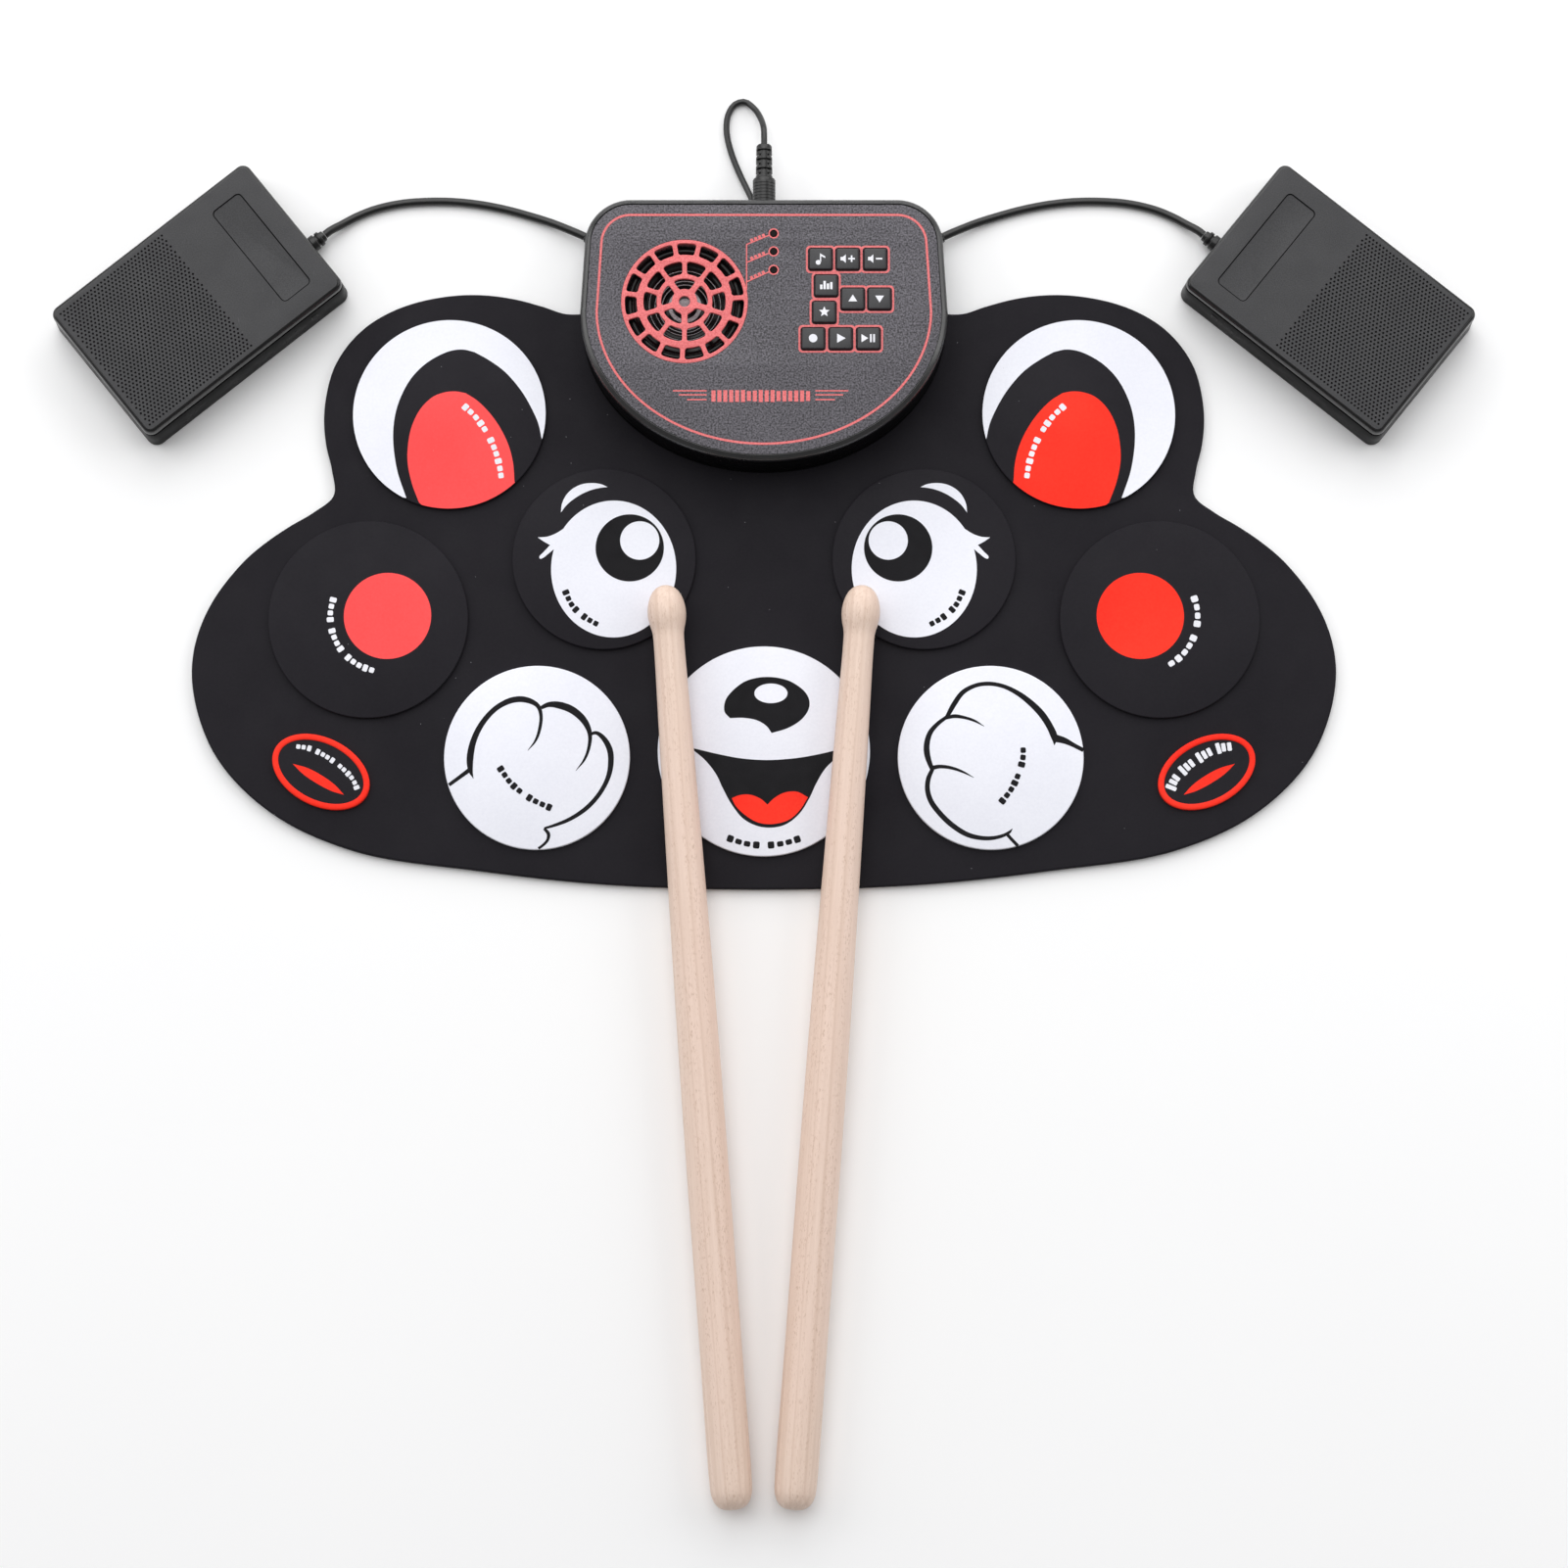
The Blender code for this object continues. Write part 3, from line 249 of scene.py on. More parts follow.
def turned(name, profile, *materials, steps=64, angle=32, closed=False):
    """A body turned about Z. The profile lists (radius, height) in millimetres, from the lowest up."""
    rings = []
    for radius, z in profile:
        rings.append(at_height(ellipse(0, 0, max(radius, 0.02) * MM, max(radius, 0.02) * MM, steps), z * MM))
    return loft(name, rings, *materials, angle=angle, closed=closed)


def applied(obj):
    """The object with its modifiers, or a curve with its fill, as a plain mesh."""
    bpy.context.view_layer.update()
    graph = bpy.context.evaluated_depsgraph_get()
    mesh = bpy.data.meshes.new_from_object(obj.evaluated_get(graph))
    mesh.transform(obj.matrix_world)
    name = obj.name
    bpy.data.objects.remove(obj, do_unlink=True)
    edit = bmesh.new()
    edit.from_mesh(mesh)
    bmesh.ops.remove_doubles(edit, verts=edit.verts, dist=0.002 * MM)
    bmesh.ops.recalc_face_normals(edit, faces=edit.faces)
    edit.to_mesh(mesh)
    edit.free()
    shade(mesh)
    return new_object(name, mesh)


def poly_curve(name, dimensions, lines, closed, bevel, bevel_steps):
    """Curve data with one spline for each line of points, straight from point to point."""
    curve = bpy.data.curves.new(name, "CURVE")
    curve.dimensions = dimensions
    curve.bevel_depth = bevel
    curve.bevel_resolution = bevel_steps
    for line in lines:
        spline = curve.splines.new("POLY")
        spline.points.add(len(line) - 1)
        spline.use_cyclic_u = closed
        for point, corner in zip(spline.points, line):
            point.co = (*corner.to_3d(), 1.0)
    return curve


def rod(name, line, radius, material, bevel_steps):
    """A round rod along the points, closed at both ends."""
    curve = poly_curve(name, "3D", [line], False, radius, bevel_steps)
    curve.use_fill_caps = True
    return new_object(name, curve, material)


def plate(name, outlines, bottom, top, *materials, bevel=0.0):
    """A flat piece between two heights. The outlines run counter-clockwise; all but the first are holes."""
    if bevel:
        holes = [inset(hole, -bevel)[::-1] for hole in outlines[1:]]
        outlines = [inset(outlines[0], bevel), *holes]
    curve = poly_curve(name, "2D", outlines, True, bevel, 2)
    curve.fill_mode = "BOTH"
    curve.extrude = (top - bottom) / 2 - bevel
    obj = new_object(name, curve, *materials)
    obj.location.z = (bottom + top) / 2
    return applied(obj)


def boolean(obj, others, operation="DIFFERENCE"):
    """The object joined with, or cut by, the others, which are used up."""
    for other in others:
        step = obj.modifiers.new(other.name, "BOOLEAN")
        step.operation = operation
        step.solver = "EXACT"
        step.object = other
    made = applied(obj)
    for other in others:
        bpy.data.objects.remove(other, do_unlink=True)
    return made


def joined(name, parts):
    """The separate meshes as one object."""
    edit = bmesh.new()
    for part in parts:
        part.data.transform(part.matrix_world)
        edit.from_mesh(part.data)
    mesh = bpy.data.meshes.new(name)
    edit.to_mesh(mesh)
    edit.free()
    for material in parts[0].data.materials:
        mesh.materials.append(material)
    for part in parts:
        bpy.data.objects.remove(part, do_unlink=True)
    shade(mesh)
    return new_object(name, mesh)


def aim(obj, point, direction):
    """Puts the body's origin at the point with its Z axis along the direction."""
    obj.location = point
    obj.rotation_mode = "QUATERNION"
    obj.rotation_quaternion = Vector(direction).to_track_quat("Z", "Y")


def stand_in(obj, *nodes):
    """The piece takes the place of the CAD nodes, on their body."""
    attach(obj, frame["nodes"][nodes[0]]["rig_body"])
    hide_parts(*nodes)
    return obj


def detail(obj, node, slot):
    """A small piece that goes with a CAD node."""
    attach(obj, frame["nodes"][node]["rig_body"])


def boxy(name, length, width, corner, profile, *materials, steps=8):
    """A loft over rounded rectangles. The profile lists (distance inwards, height); all in millimetres."""
    rings = []
    for into, z in profile:
        outline = rounded_rectangle(
            0, 0, (length - 2 * into) * MM, (width - 2 * into) * MM, max(corner - into, 0.15) * MM, steps)
        rings.append(at_height(outline, z * MM))
    return loft(name, rings, *materials)


def block(name, low, high, *materials, edge):
    """A box between two corners in millimetres, with rounded edges."""
    length, width = high[0] - low[0], high[1] - low[1]
    obj = boxy(name, length, width, 2 * edge, [
        (edge, low[2]), (0.3 * edge, low[2] + 0.3 * edge), (0, low[2] + edge),
        (0, high[2] - edge), (0.3 * edge, high[2] - 0.3 * edge), (edge, high[2]),
    ], *materials, steps=4)
    obj.data.transform(Matrix.Translation(((low[0] + high[0]) / 2 * MM, (low[1] + high[1]) / 2 * MM, 0)))
    return obj


# ---------------------------------------------------------------- materials


def srgb(red, green, blue):
    """A display colour from 0 to 255 as linear light with full alpha."""
    linear = [((value / 255 + 0.055) / 1.055) ** 2.4 for value in (red, green, blue)]
    return (*linear, 1.0)


class Paint:
    """A procedural material while it is being put together."""

    def __init__(self, name, **sockets):
        self.material = bpy.data.materials.new(name)
        self.material.use_nodes = True
        self.nodes = self.material.node_tree.nodes
        self.shader = self.nodes["Principled BSDF"]
        self.place = self.add("ShaderNodeTexCoord").outputs["Object"]
        self.normal = None
        for socket, value in sockets.items():
            title = socket.replace("_", " ").title().replace("Ior", "IOR")
            self.shader.inputs[title].default_value = value

    def add(self, kind, inputs=None, **settings):
        node = self.nodes.new(kind)
        for key, value in settings.items():
            setattr(node, key, value)
        for key, value in (inputs or {}).items():
            self.connect(value, node.inputs[key])
        return node

    def connect(self, value, socket):
        if isinstance(value, bpy.types.NodeSocket):
            self.material.node_tree.links.new(value, socket)
        else:
            socket.default_value = value

    def stretched(self, x, y, z):
        mapping = self.add("ShaderNodeMapping", {"Vector": self.place, "Scale": (x, y, z)})
        return mapping.outputs["Vector"]

    def noise(self, size, detail, place=None):
        """Noise from 0 to 1 whose features are about the size, in millimetres."""
        inputs = {"Vector": place or self.place, "Scale": 1000 / size, "Detail": detail}
        return self.add("ShaderNodeTexNoise", inputs).outputs["Fac"]

    def cells(self, size):
        """Distance from the nearest of scattered points about the size apart, in millimetres."""
        inputs = {"Vector": self.place, "Scale": 1000 / size}
        return self.add("ShaderNodeTexVoronoi", inputs).outputs["Distance"]

    def ranged(self, value, low, high, to_low=0.0, to_high=1.0):
        node = self.add("ShaderNodeMapRange", {
            "Value": value, "From Min": low, "From Max": high, "To Min": to_low, "To Max": to_high})
        return node.outputs["Result"]

    def maths(self, operation, *values):
        node = self.add("ShaderNodeMath", operation=operation)
        for index, value in enumerate(values):
            self.connect(value, node.inputs[index])
        return node.outputs["Value"]

    def mixed(self, factor, first, second):
        """A blend of two colours, each a socket or a display colour from 0 to 255."""
        node = self.add("ShaderNodeMix", data_type="RGBA")
        self.connect(factor, node.inputs["Factor"])
        for index, colour in ((6, first), (7, second)):
            self.connect(srgb(*colour) if isinstance(colour, tuple) else colour, node.inputs[index])
        return node.outputs[2]

    def bump(self, height, depth):
        """Adds relief of about the depth, in millimetres."""
        inputs = {"Height": height, "Distance": depth * MM, "Strength": 1.0}
        if self.normal:
            inputs["Normal"] = self.normal
        self.normal = self.add("ShaderNodeBump", inputs).outputs["Normal"]

    def done(self, colour, roughness):
        self.connect(colour, self.shader.inputs["Base Color"])
        self.connect(roughness, self.shader.inputs["Roughness"])
        if self.normal:
            self.connect(self.normal, self.shader.inputs["Normal"])
        return self.material


def silicone(name, dark, light, roughness=0.62, specks=(150, 150, 155)):
    """Moulded silicone with a fine even grain, faint cloudiness and a few specks of dust."""
    paint = Paint(name, specular_ior_level=0.12)
    cloudy = paint.maths("ADD", paint.noise(55, 4), paint.ranged(paint.noise(1.1, 3), 0, 1, -0.25, 0.25))
    colour = paint.mixed(paint.ranged(cloudy, 0.3, 0.7), dark, light)
    lint = paint.ranged(paint.cells(9), 0.022, 0.016)
    colour = paint.mixed(paint.maths("MULTIPLY", lint, 0.6), colour, specks)
    paint.bump(paint.noise(0.35, 2), 0.014)
    paint.bump(paint.noise(3.2, 2), 0.02)
    return paint.done(colour, paint.ranged(paint.noise(14, 3), 0.3, 0.7, roughness - 0.06, roughness + 0.06))


def moulded(name, dark, light, grain, depth, roughness, shine=0.5, metallic=0.0):
    """Moulded plastic with a spark-eroded grain, cloudy roughness and a few fine scuffs.

    The grain's size and depth are in millimetres. Shine is the specular level.
    """
    paint = Paint(name, specular_ior_level=shine, metallic=metallic)
    fine = paint.noise(grain, 2)
    mottled = paint.maths("ADD", fine, paint.ranged(paint.noise(40, 3), 0, 1, -0.06, 0.06))
    colour = paint.mixed(paint.ranged(mottled, 0.32, 0.68), dark, light)
    scratches = paint.ranged(paint.noise(0.8, 2, paint.stretched(1, 0.12, 1)), 0.68, 0.75, 0, 0.18)
    scuffs = paint.maths("MULTIPLY", scratches, paint.ranged(paint.noise(13, 2), 0.52, 0.62))
    colour = paint.mixed(scuffs, colour, (120, 120, 122))
    paint.bump(fine, depth)
    smear = paint.ranged(paint.noise(11, 4), 0.3, 0.7, roughness - 0.05, roughness + 0.07)
    return paint.done(colour, smear)


def printed(name, dark, light):
    """Screen-printed ink: an even coat with faint mottling and pinholes."""
    paint = Paint(name, specular_ior_level=0.12)
    cloudy = paint.maths("ADD", paint.noise(18, 3), paint.ranged(paint.noise(0.6, 2), 0, 1, -0.3, 0.3))
    colour = paint.mixed(paint.ranged(cloudy, 0.3, 0.7), dark, light)
    paint.bump(paint.noise(0.5, 2), 0.012)
    return paint.done(colour, paint.ranged(paint.noise(6, 2), 0.3, 0.7, 0.45, 0.55))


def maple():
    """Sanded maple, its grain along the stick's Z axis: streaks, fibres, flecks and faint growth lines."""
    paint = Paint("maple_wood", specular_ior_level=0.35, coat_weight=0.06, coat_roughness=0.45)
    streaks = paint.noise(1.7, 4, paint.stretched(1, 1, 0.02))
    fibres = paint.noise(0.45, 3, paint.stretched(1, 1, 0.05))
    colour = paint.mixed(paint.ranged(streaks, 0.3, 0.7), (222, 197, 180), (235, 212, 197))
    colour = paint.mixed(paint.ranged(fibres, 0.42, 0.75, 0, 0.22), colour, (208, 179, 159))
    rosy = paint.noise(22, 2, paint.stretched(1, 1, 0.15))
    colour = paint.mixed(paint.ranged(rosy, 0.45, 0.7, 0, 0.4), colour, (236, 208, 194))
    flecks = paint.ranged(paint.noise(0.55, 2, paint.stretched(1, 1, 0.34)), 0.55, 0.68)
    bands = paint.ranged(paint.noise(3, 2, paint.stretched(1, 1, 0.03)), 0.36, 0.6)
    flecks = paint.maths("MULTIPLY", flecks, bands)
    colour = paint.mixed(paint.maths("MULTIPLY", flecks, 0.5), colour, (188, 152, 128))
    rings = paint.add("ShaderNodeTexWave", {
        "Vector": paint.stretched(1, 1, 0.03), "Scale": 55.0, "Distortion": 6.0, "Detail": 2.0,
        "Detail Scale": 0.8,
    }, wave_type="BANDS", bands_direction="X").outputs["Fac"]
    colour = paint.mixed(paint.ranged(rings, 0.9, 1.0, 0, 0.25), colour, (200, 168, 147))
    paint.bump(fibres, 0.01)
    paint.bump(flecks, 0.012)
    return paint.done(colour, paint.ranged(fibres, 0.3, 0.7, 0.42, 0.58))


def steel():
    """Bright brushed steel."""
    paint = Paint("bright_steel", metallic=1.0)
    brushed = paint.noise(0.6, 3, paint.stretched(1, 1, 0.2))
    colour = paint.ranged(paint.noise(7, 3), 0.35, 0.7)
    colour = paint.mixed(colour, (186, 188, 192), (150, 151, 154))
    paint.bump(brushed, 0.01)
    return paint.done(colour, paint.ranged(brushed, 0.3, 0.7, 0.24, 0.42))


def sensor_film():
    """Film with printed conductor stripes."""
    paint = Paint("film_gold")
    wave = paint.add("ShaderNodeTexWave", {"Vector": paint.place, "Scale": math.tau / 20 / (6 * MM)})
    stripes = paint.ranged(wave.outputs["Fac"], 0.45, 0.55)
    colour = paint.mixed(stripes, (196, 168, 104), (70, 66, 58))
    colour = paint.mixed(paint.ranged(paint.noise(12, 3), 0.3, 0.7, 0, 0.2), colour, (40, 40, 30))
    paint.bump(stripes, 0.03)
    return paint.done(colour, paint.ranged(paint.noise(3, 2), 0.3, 0.7, 0.3, 0.5))


def speaker_black():
    """The dark glossy rubber and paper of the speaker."""
    paint = Paint("speaker_black", specular_ior_level=0.25)
    colour = paint.mixed(paint.noise(3, 4), (5, 5, 6), (12, 12, 14))
    paint.bump(paint.noise(0.9, 3), 0.02)
    return paint.done(colour, paint.ranged(paint.noise(4, 3), 0.3, 0.7, 0.16, 0.3))


MAT_BLACK = silicone("mat_silicone", (26, 24, 29), (31, 29, 34))
PAD_BLACK = silicone("pad_silicone", (28, 26, 31), (33, 31, 36), 0.58)
PAD_WHITE = silicone("white_silicone_skin", (231, 232, 241), (240, 241, 249), 0.55, (190, 190, 196))
PAD_CORAL = silicone("coral_silicone", (250, 76, 76), (255, 86, 86), 0.55, (255, 150, 150))
PAD_RED = silicone("red_silicone_skin", (250, 44, 28), (255, 58, 40), 0.55, (255, 130, 110))
INK_BLACK = printed("black_ink", (15, 14, 17), (21, 20, 24))
INK_WHITE = printed("white_ink", (228, 229, 236), (240, 240, 246))
INK_SALMON = moulded("salmon_ink", (212, 98, 100), (236, 128, 130), 0.75, 0.04, 0.5, 0.25)
CASE_BLACK = moulded("case_black", (12, 12, 13), (18, 18, 19), 1.6, 0.001, 0.22)
# A darker copy of the black plastic with almost no reflection, for walls: painted shade
SHADED_WALL_BLACK = moulded("painted_shade_wall_black", (10, 10, 11), (14, 14, 15), 1.6, 0.0004, 0.3, 0.03)
COVER_BLACK = moulded("cover_black", (18, 18, 19), (26, 26, 27), 1.4, 0.001, 0.28, 1.0)
PANEL_GREY = moulded("panel_grey", (42, 41, 44), (112, 109, 116), 0.75, 0.05, 0.5, 0.3)
PEDAL_BLACK = moulded("pedal_black", (45, 45, 47), (58, 58, 60), 0.5, 0.02, 0.48, 0.35)
KEY_BLACK = moulded("key_black", (24, 24, 27), (34, 34, 38), 0.7, 0.008, 0.34)
CORD_BLACK = moulded("cord_black", (14, 14, 14), (22, 22, 22), 1.2, 0.006, 0.3)
SPEAKER_BLACK = speaker_black()
# Light grey for the dust cap and for the rings that are painted glints
CAP_AND_GLINT_GREY = moulded("dust_cap_and_glint_grey", (170, 171, 176), (205, 206, 210), 0.8, 0.02, 0.2)
# Near-black for the dimples and the label's step: painted shade in the recesses
RECESS_SHADE = moulded("painted_recess_shade", (12, 12, 13), (18, 18, 19), 1.0, 0.01, 0.6, 0.1)
LENS_DARK = moulded("light_lens", (8, 4, 4), (18, 6, 6), 1.5, 0.005, 0.3, 0.1)
BOARD_GREEN = moulded("board_green", (20, 78, 44), (30, 96, 56), 1.4, 0.02, 0.4)
CELL_FOIL = moulded("cell_foil", (140, 148, 160), (170, 178, 188), 2.5, 0.03, 0.3, metallic=0.8)
FILM_GOLD = sensor_film()
STEEL = steel()
MAPLE = maple()
# The material slot of each colour in the artwork
ART_SLOTS = {
    PAD_WHITE.name: "white_silicone", INK_WHITE.name: "white_silicone", INK_BLACK.name: "charcoal_silicone",
    PAD_RED.name: "red_silicone", PAD_CORAL.name: "red_silicone",
}


# ---------------------------------------------------------------- mat and pads

SKIN_LIP = 1.5
PAD_EDGE = 0.45
# Height of a printed layer, and how far the print goes down into the pad
PRINT = 0.06 * MM
PRINT_ROOT = 0.05 * MM
# Gap between two words of a caption, as a part of the dashes' pitch
WORD_GAP = 0.7


def make_mat():
    """Two skins bonded at the rim, with the film between them."""
    outline = smooth_curve(cad_outlines("mat_top_skin")[0], 1.6 * MM, closed=True)
    back_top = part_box("mat_back_skin")[1].z / MM
    top_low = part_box("mat_top_skin")[0].z / MM
    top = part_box("mat_top_skin")[1].z / MM
    back = shell("mat_back_sheet", outline, [
        (0.5, 0.0), (0.16, 0.1), (0.02, 0.35), (0.0, 0.6), (0.04, back_top - 0.12), (0.2, back_top),
    ], MAT_BLACK)
    stand_in(back, "mat_back_skin")
    front = shell("mat_top_sheet", outline, [
        (SKIN_LIP, top_low), (SKIN_LIP, back_top + 0.05), (0.2, back_top + 0.05),
        (0.04, back_top + 0.18), (0.0, top_low), (0.0, top - 0.7), (0.08, top - 0.4),
        (0.3, top - 0.14), (0.65, top - 0.02), (1.0, top),
    ], MAT_BLACK)
    stand_in(front, "mat_top_skin")


def make_disc(node, material):
    """The moulded disc of a round pad, seated on the mat."""
    centre = centre_of(node)
    outline = ellipse(centre.x, centre.y, radius_of(node), radius_of(node), 192)
    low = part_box("mat_top_skin")[1].z / MM
    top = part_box(node)[1].z / MM
    disc = shell(node + "_disc", outline, [
        (0.0, low), (0.0, top - PAD_EDGE), (PAD_EDGE * 0.13, top - PAD_EDGE * 0.5),
        (PAD_EDGE * 0.5, top - PAD_EDGE * 0.13), (PAD_EDGE, top),
    ], material)
    stand_in(disc, node)


def centre_of(node):
    low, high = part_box(node)
    return (low + high) / 2


def radius_of(node):
    low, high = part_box(node)
    return (high.y - low.y) / 2


class Art:
    """Flat coloured shapes on top of one pad, drawn in millimetres about its centre."""

    def __init__(self, node, mirror=1):
        self.node = node
        self.mirror = mirror
        self.centre = centre_of(node).xy
        self.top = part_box(node)[1].z

    def points(self, pairs):
        return [Vector((self.mirror * x, y)) * MM for x, y in pairs]

    def corners(self, runs):
        """The outline of smooth runs that meet in corners. Each run ends where the next begins."""
        points = []
        for run in map(self.points, runs):
            points += smooth_curve(run, 0.6 * MM)[:-1] if len(run) > 2 else run[:-1]
        return points

    def raised(self, name, outlines, material, layer=0, low=-PRINT_ROOT, extra=0.0):
        """A flat piece whose outlines are in metres about the pad's centre; layer 1 lies on layer 0."""
        moved = [[point + self.centre for point in outline] for outline in outlines]
        high = (layer + 1) * PRINT + extra
        return plate(f"{self.node}_{name}", moved, self.top + low, self.top + high, material)

    def add(self, name, outlines, material, layer=0):
        obj = self.raised(name, outlines, material, layer, layer * PRINT - PRINT_ROOT)
        detail(obj, self.node, ART_SLOTS[material.name])

    def add_joined(self, name, parts):
        slot = ART_SLOTS[parts[0].data.materials[0].name]
        detail(joined(f"{self.node}_{name}", parts), self.node, slot)

    def strokes(self, name, lines, material):
        """Brush strokes; each is a list of (x, y, width). A later one lies a hair above an earlier one."""
        parts = []
        for index, line in enumerate(lines):
            points = self.points([spot[:2] for spot in line])
            outline = ribbon(points, [1.2 * spot[2] * MM for spot in line])
            parts.append(self.raised(f"stroke_{index}", [outline], material, extra=0.002 * index * MM))
        self.add_joined(name, parts)

    def caption(self, path, material, words, height=2.9, layer=0):
        """A caption as plain dashes along the path. Words counts the dashes of each group."""
        line = smooth_curve(self.points(path), 0.2 * MM)
        pitch = (len(line) - 1) * 0.2 / (sum(words) + WORD_GAP * (len(words) - 1))
        wide = 0.74 * pitch
        parts = []
        place = 0.5
        for word, count in enumerate(words):
            for index in range(count):
                spot = min(len(line) - 2, max(1, round(place * pitch / 0.2)))
                along = (line[spot + 1] - line[spot - 1]).normalized()
                tall = height if index % 3 == 0 else 0.76 * height
                turn = Matrix.Rotation(math.atan2(along.y, along.x), 2)
                dash = rounded_rectangle(0, 0, wide * MM, tall * MM, 0.25 * wide * MM, 4)
                dash = [turn @ point + line[spot] for point in dash]
                parts.append(self.raised(f"dash_{word}_{index}", [dash], material, layer))
                place += 1
            place += WORD_GAP
        self.add_joined("caption", parts)


def rim_region(inner, radius, clockwise):
    """The run of points closed along the pad's edge, from its last point back to its first."""
    start, end = (math.degrees(math.atan2(point.y, point.x)) for point in (inner[-1], inner[0]))
    if clockwise and end > start:
        end -= 360
    if not clockwise and end < start:
        end += 360
    edge = arc(0, 0, radius, start, end, max(4, round(abs(end - start) / 2)))
    return inner[:-1] + edge[:-1]


EAR_HOLLOW = [
    [(-17.4, -35.5), (-21.4, -23.5), (-23.2, -9.5), (-22.2, 0.9), (-19.5, 8.9), (-15.6, 15.7),
     (-10.4, 21.1), (-4.7, 24.8), (0.5, 26.9), (5.4, 27.4), (10.2, 26.3)],
    [(10.2, 26.3), (16.2, 22.9), (22.8, 18.0), (29.5, 10.2), (34.0, 2.6), (36.9, -4.0), (38.4, -10.6)],
]
EAR_INSIDE = [
    [(-12.1, -37.4), (-15.1, -29.5), (-17.0, -20.7), (-17.0, -13.5), (-15.6, -5.6), (-12.1, 2.0),
     (-7.0, 7.2), (-2.0, 9.2), (2.5, 9.6), (6.6, 8.9)],
    [(6.6, 8.9), (11.4, 5.8), (16.6, 0.6), (21.0, -5.6), (24.6, -13.0), (26.6, -20.6), (27.3, -28.8)],
]


def make_ear(node, mirror, inside):
    """A white ear round an inner ear of its own colour, both cut off at the pad's edge."""
    radius = radius_of(node) - PAD_EDGE * MM * 0.6
    art = Art(node, mirror)
    for name, runs, material, clockwise in (
        ("white", EAR_HOLLOW, PAD_WHITE, mirror < 0), ("inner_ear", EAR_INSIDE, inside, mirror > 0),
    ):
        back, front = (smooth_curve(art.points(run), 0.6 * MM) for run in runs)
        region = [point.normalized() * min(point.length, radius) for point in back[:-1] + front]
        art.add(name, [rim_region(region, radius, clockwise)], material)
    art.caption([(5.5, 4.0), (11.2, -1.6), (16.0, -8.6), (19.2, -15.6), (21.0, -22), (21.9, -27.6)],
                INK_WHITE, (5, 6), layer=1)


# Centre, half width and half height, and the angles between which its round edge runs
EYE = (4.0, -4.2, 25.8, 28.7)
EYE_ARC = (163.2, 504.2)
LASHES = [
    [(-16.9, 12.6), (-19.9, 10.7), (-23.6, 9.3), (-27.4, 9.0)],
    [(-27.4, 9.0), (-24.8, 7.2), (-22.3, 5.8)],
    [(-22.3, 5.8), (-24.8, 3.0), (-26.7, 0.9), (-26.5, 0.1), (-25.5, 0.2), (-22.9, 2.2), (-20.7, 4.1)],
]
BROW = [
    [(-17.9, 19.5), (-17.5, 23.2), (-15.8, 26.8), (-13.4, 29.3), (-9.6, 31.3), (-5.2, 31.9), (-1.4, 31.4),
     (1.3, 30.2)],
    [(1.3, 30.2), (-1.4, 29.9), (-4.7, 29.2), (-8.5, 27.7), (-12.3, 25.4), (-15.6, 22.6), (-17.9, 19.5)],
]


def make_eye(node, mirror):
    """An eye with lashes, a brow, a pupil and the light in it."""
    art = Art(node, mirror)
    x, y, half_width, half_height = EYE
    start, end = EYE_ARC
    ball = []
    for step in range(120):
        turn = math.radians(start + (end - start) * step / 120)
        ball.append((x + half_width * math.cos(turn), y + half_height * math.sin(turn)))
    art.add("eye", [art.points(ball) + art.corners(LASHES)], PAD_WHITE)
    art.add("brow", [art.corners(BROW)], PAD_WHITE)
    pupil = ellipse(mirror * 10.6 * MM, 4.6 * MM, 14.1 * MM, 14.1 * MM)
    light = ellipse(mirror * 14.7 * MM, 7.7 * MM, 8.1 * MM, 8.1 * MM)
    art.add("pupil", [pupil, light], INK_BLACK, layer=1)
    art.caption([(-16.2, -12.8), (-13.0, -19.5), (-8.1, -24.2), (-2.0, -27.8)], INK_BLACK, (4, 3), layer=1)


# Brush strokes as lists of (x, y, width)
LEFT_PAW = [
    [(-25.9, -8.8, 0.0), (-27.1, -5.6, 1.5), (-27.4, -0.6, 2.3), (-26.2, 6.4, 2.1), (-22.8, 13.8, 1.9),
     (-17.1, 20.3, 1.8), (-10.6, 23.7, 2.0), (-5.1, 24.0, 2.0), (0.0, 21.6, 1.5), (1.5, 17.8, 1.2),
     (1.1, 12.1, 1.1), (-0.6, 7.0, 0.8), (-3.8, 2.8, 0.1)],
    [(1.6, 20.6, 1.2), (4.6, 21.9, 1.7), (8.9, 21.7, 2.4), (14.6, 19.5, 2.5), (19.4, 15.0, 2.2),
     (21.6, 9.9, 1.5), (21.3, 4.2, 1.1), (19.4, -1.0, 0.8), (16.0, -5.5, 0.1)],
    [(21.8, 9.6, 1.0), (24.2, 10.2, 1.2), (27.3, 7.9, 1.7), (29.9, 3.0, 2.0), (30.3, -2.7, 1.9),
     (29.1, -8.6, 1.6), (25.6, -15.2, 1.5), (20.5, -20.9, 1.5), (13.7, -25.5, 1.3), (7.0, -28.2, 1.0),
     (3.2, -29.3, 0.7)],
    [(3.2, -29.4, 0.9), (5.0, -31.6, 1.2), (4.6, -34.2, 1.0), (2.6, -36.4, 0.9), (0.9, -37.6, 0.9)],
    [(-35.9, -11.4, 1.2), (-31.6, -8.2, 1.3), (-27.6, -5.2, 1.5)],
]
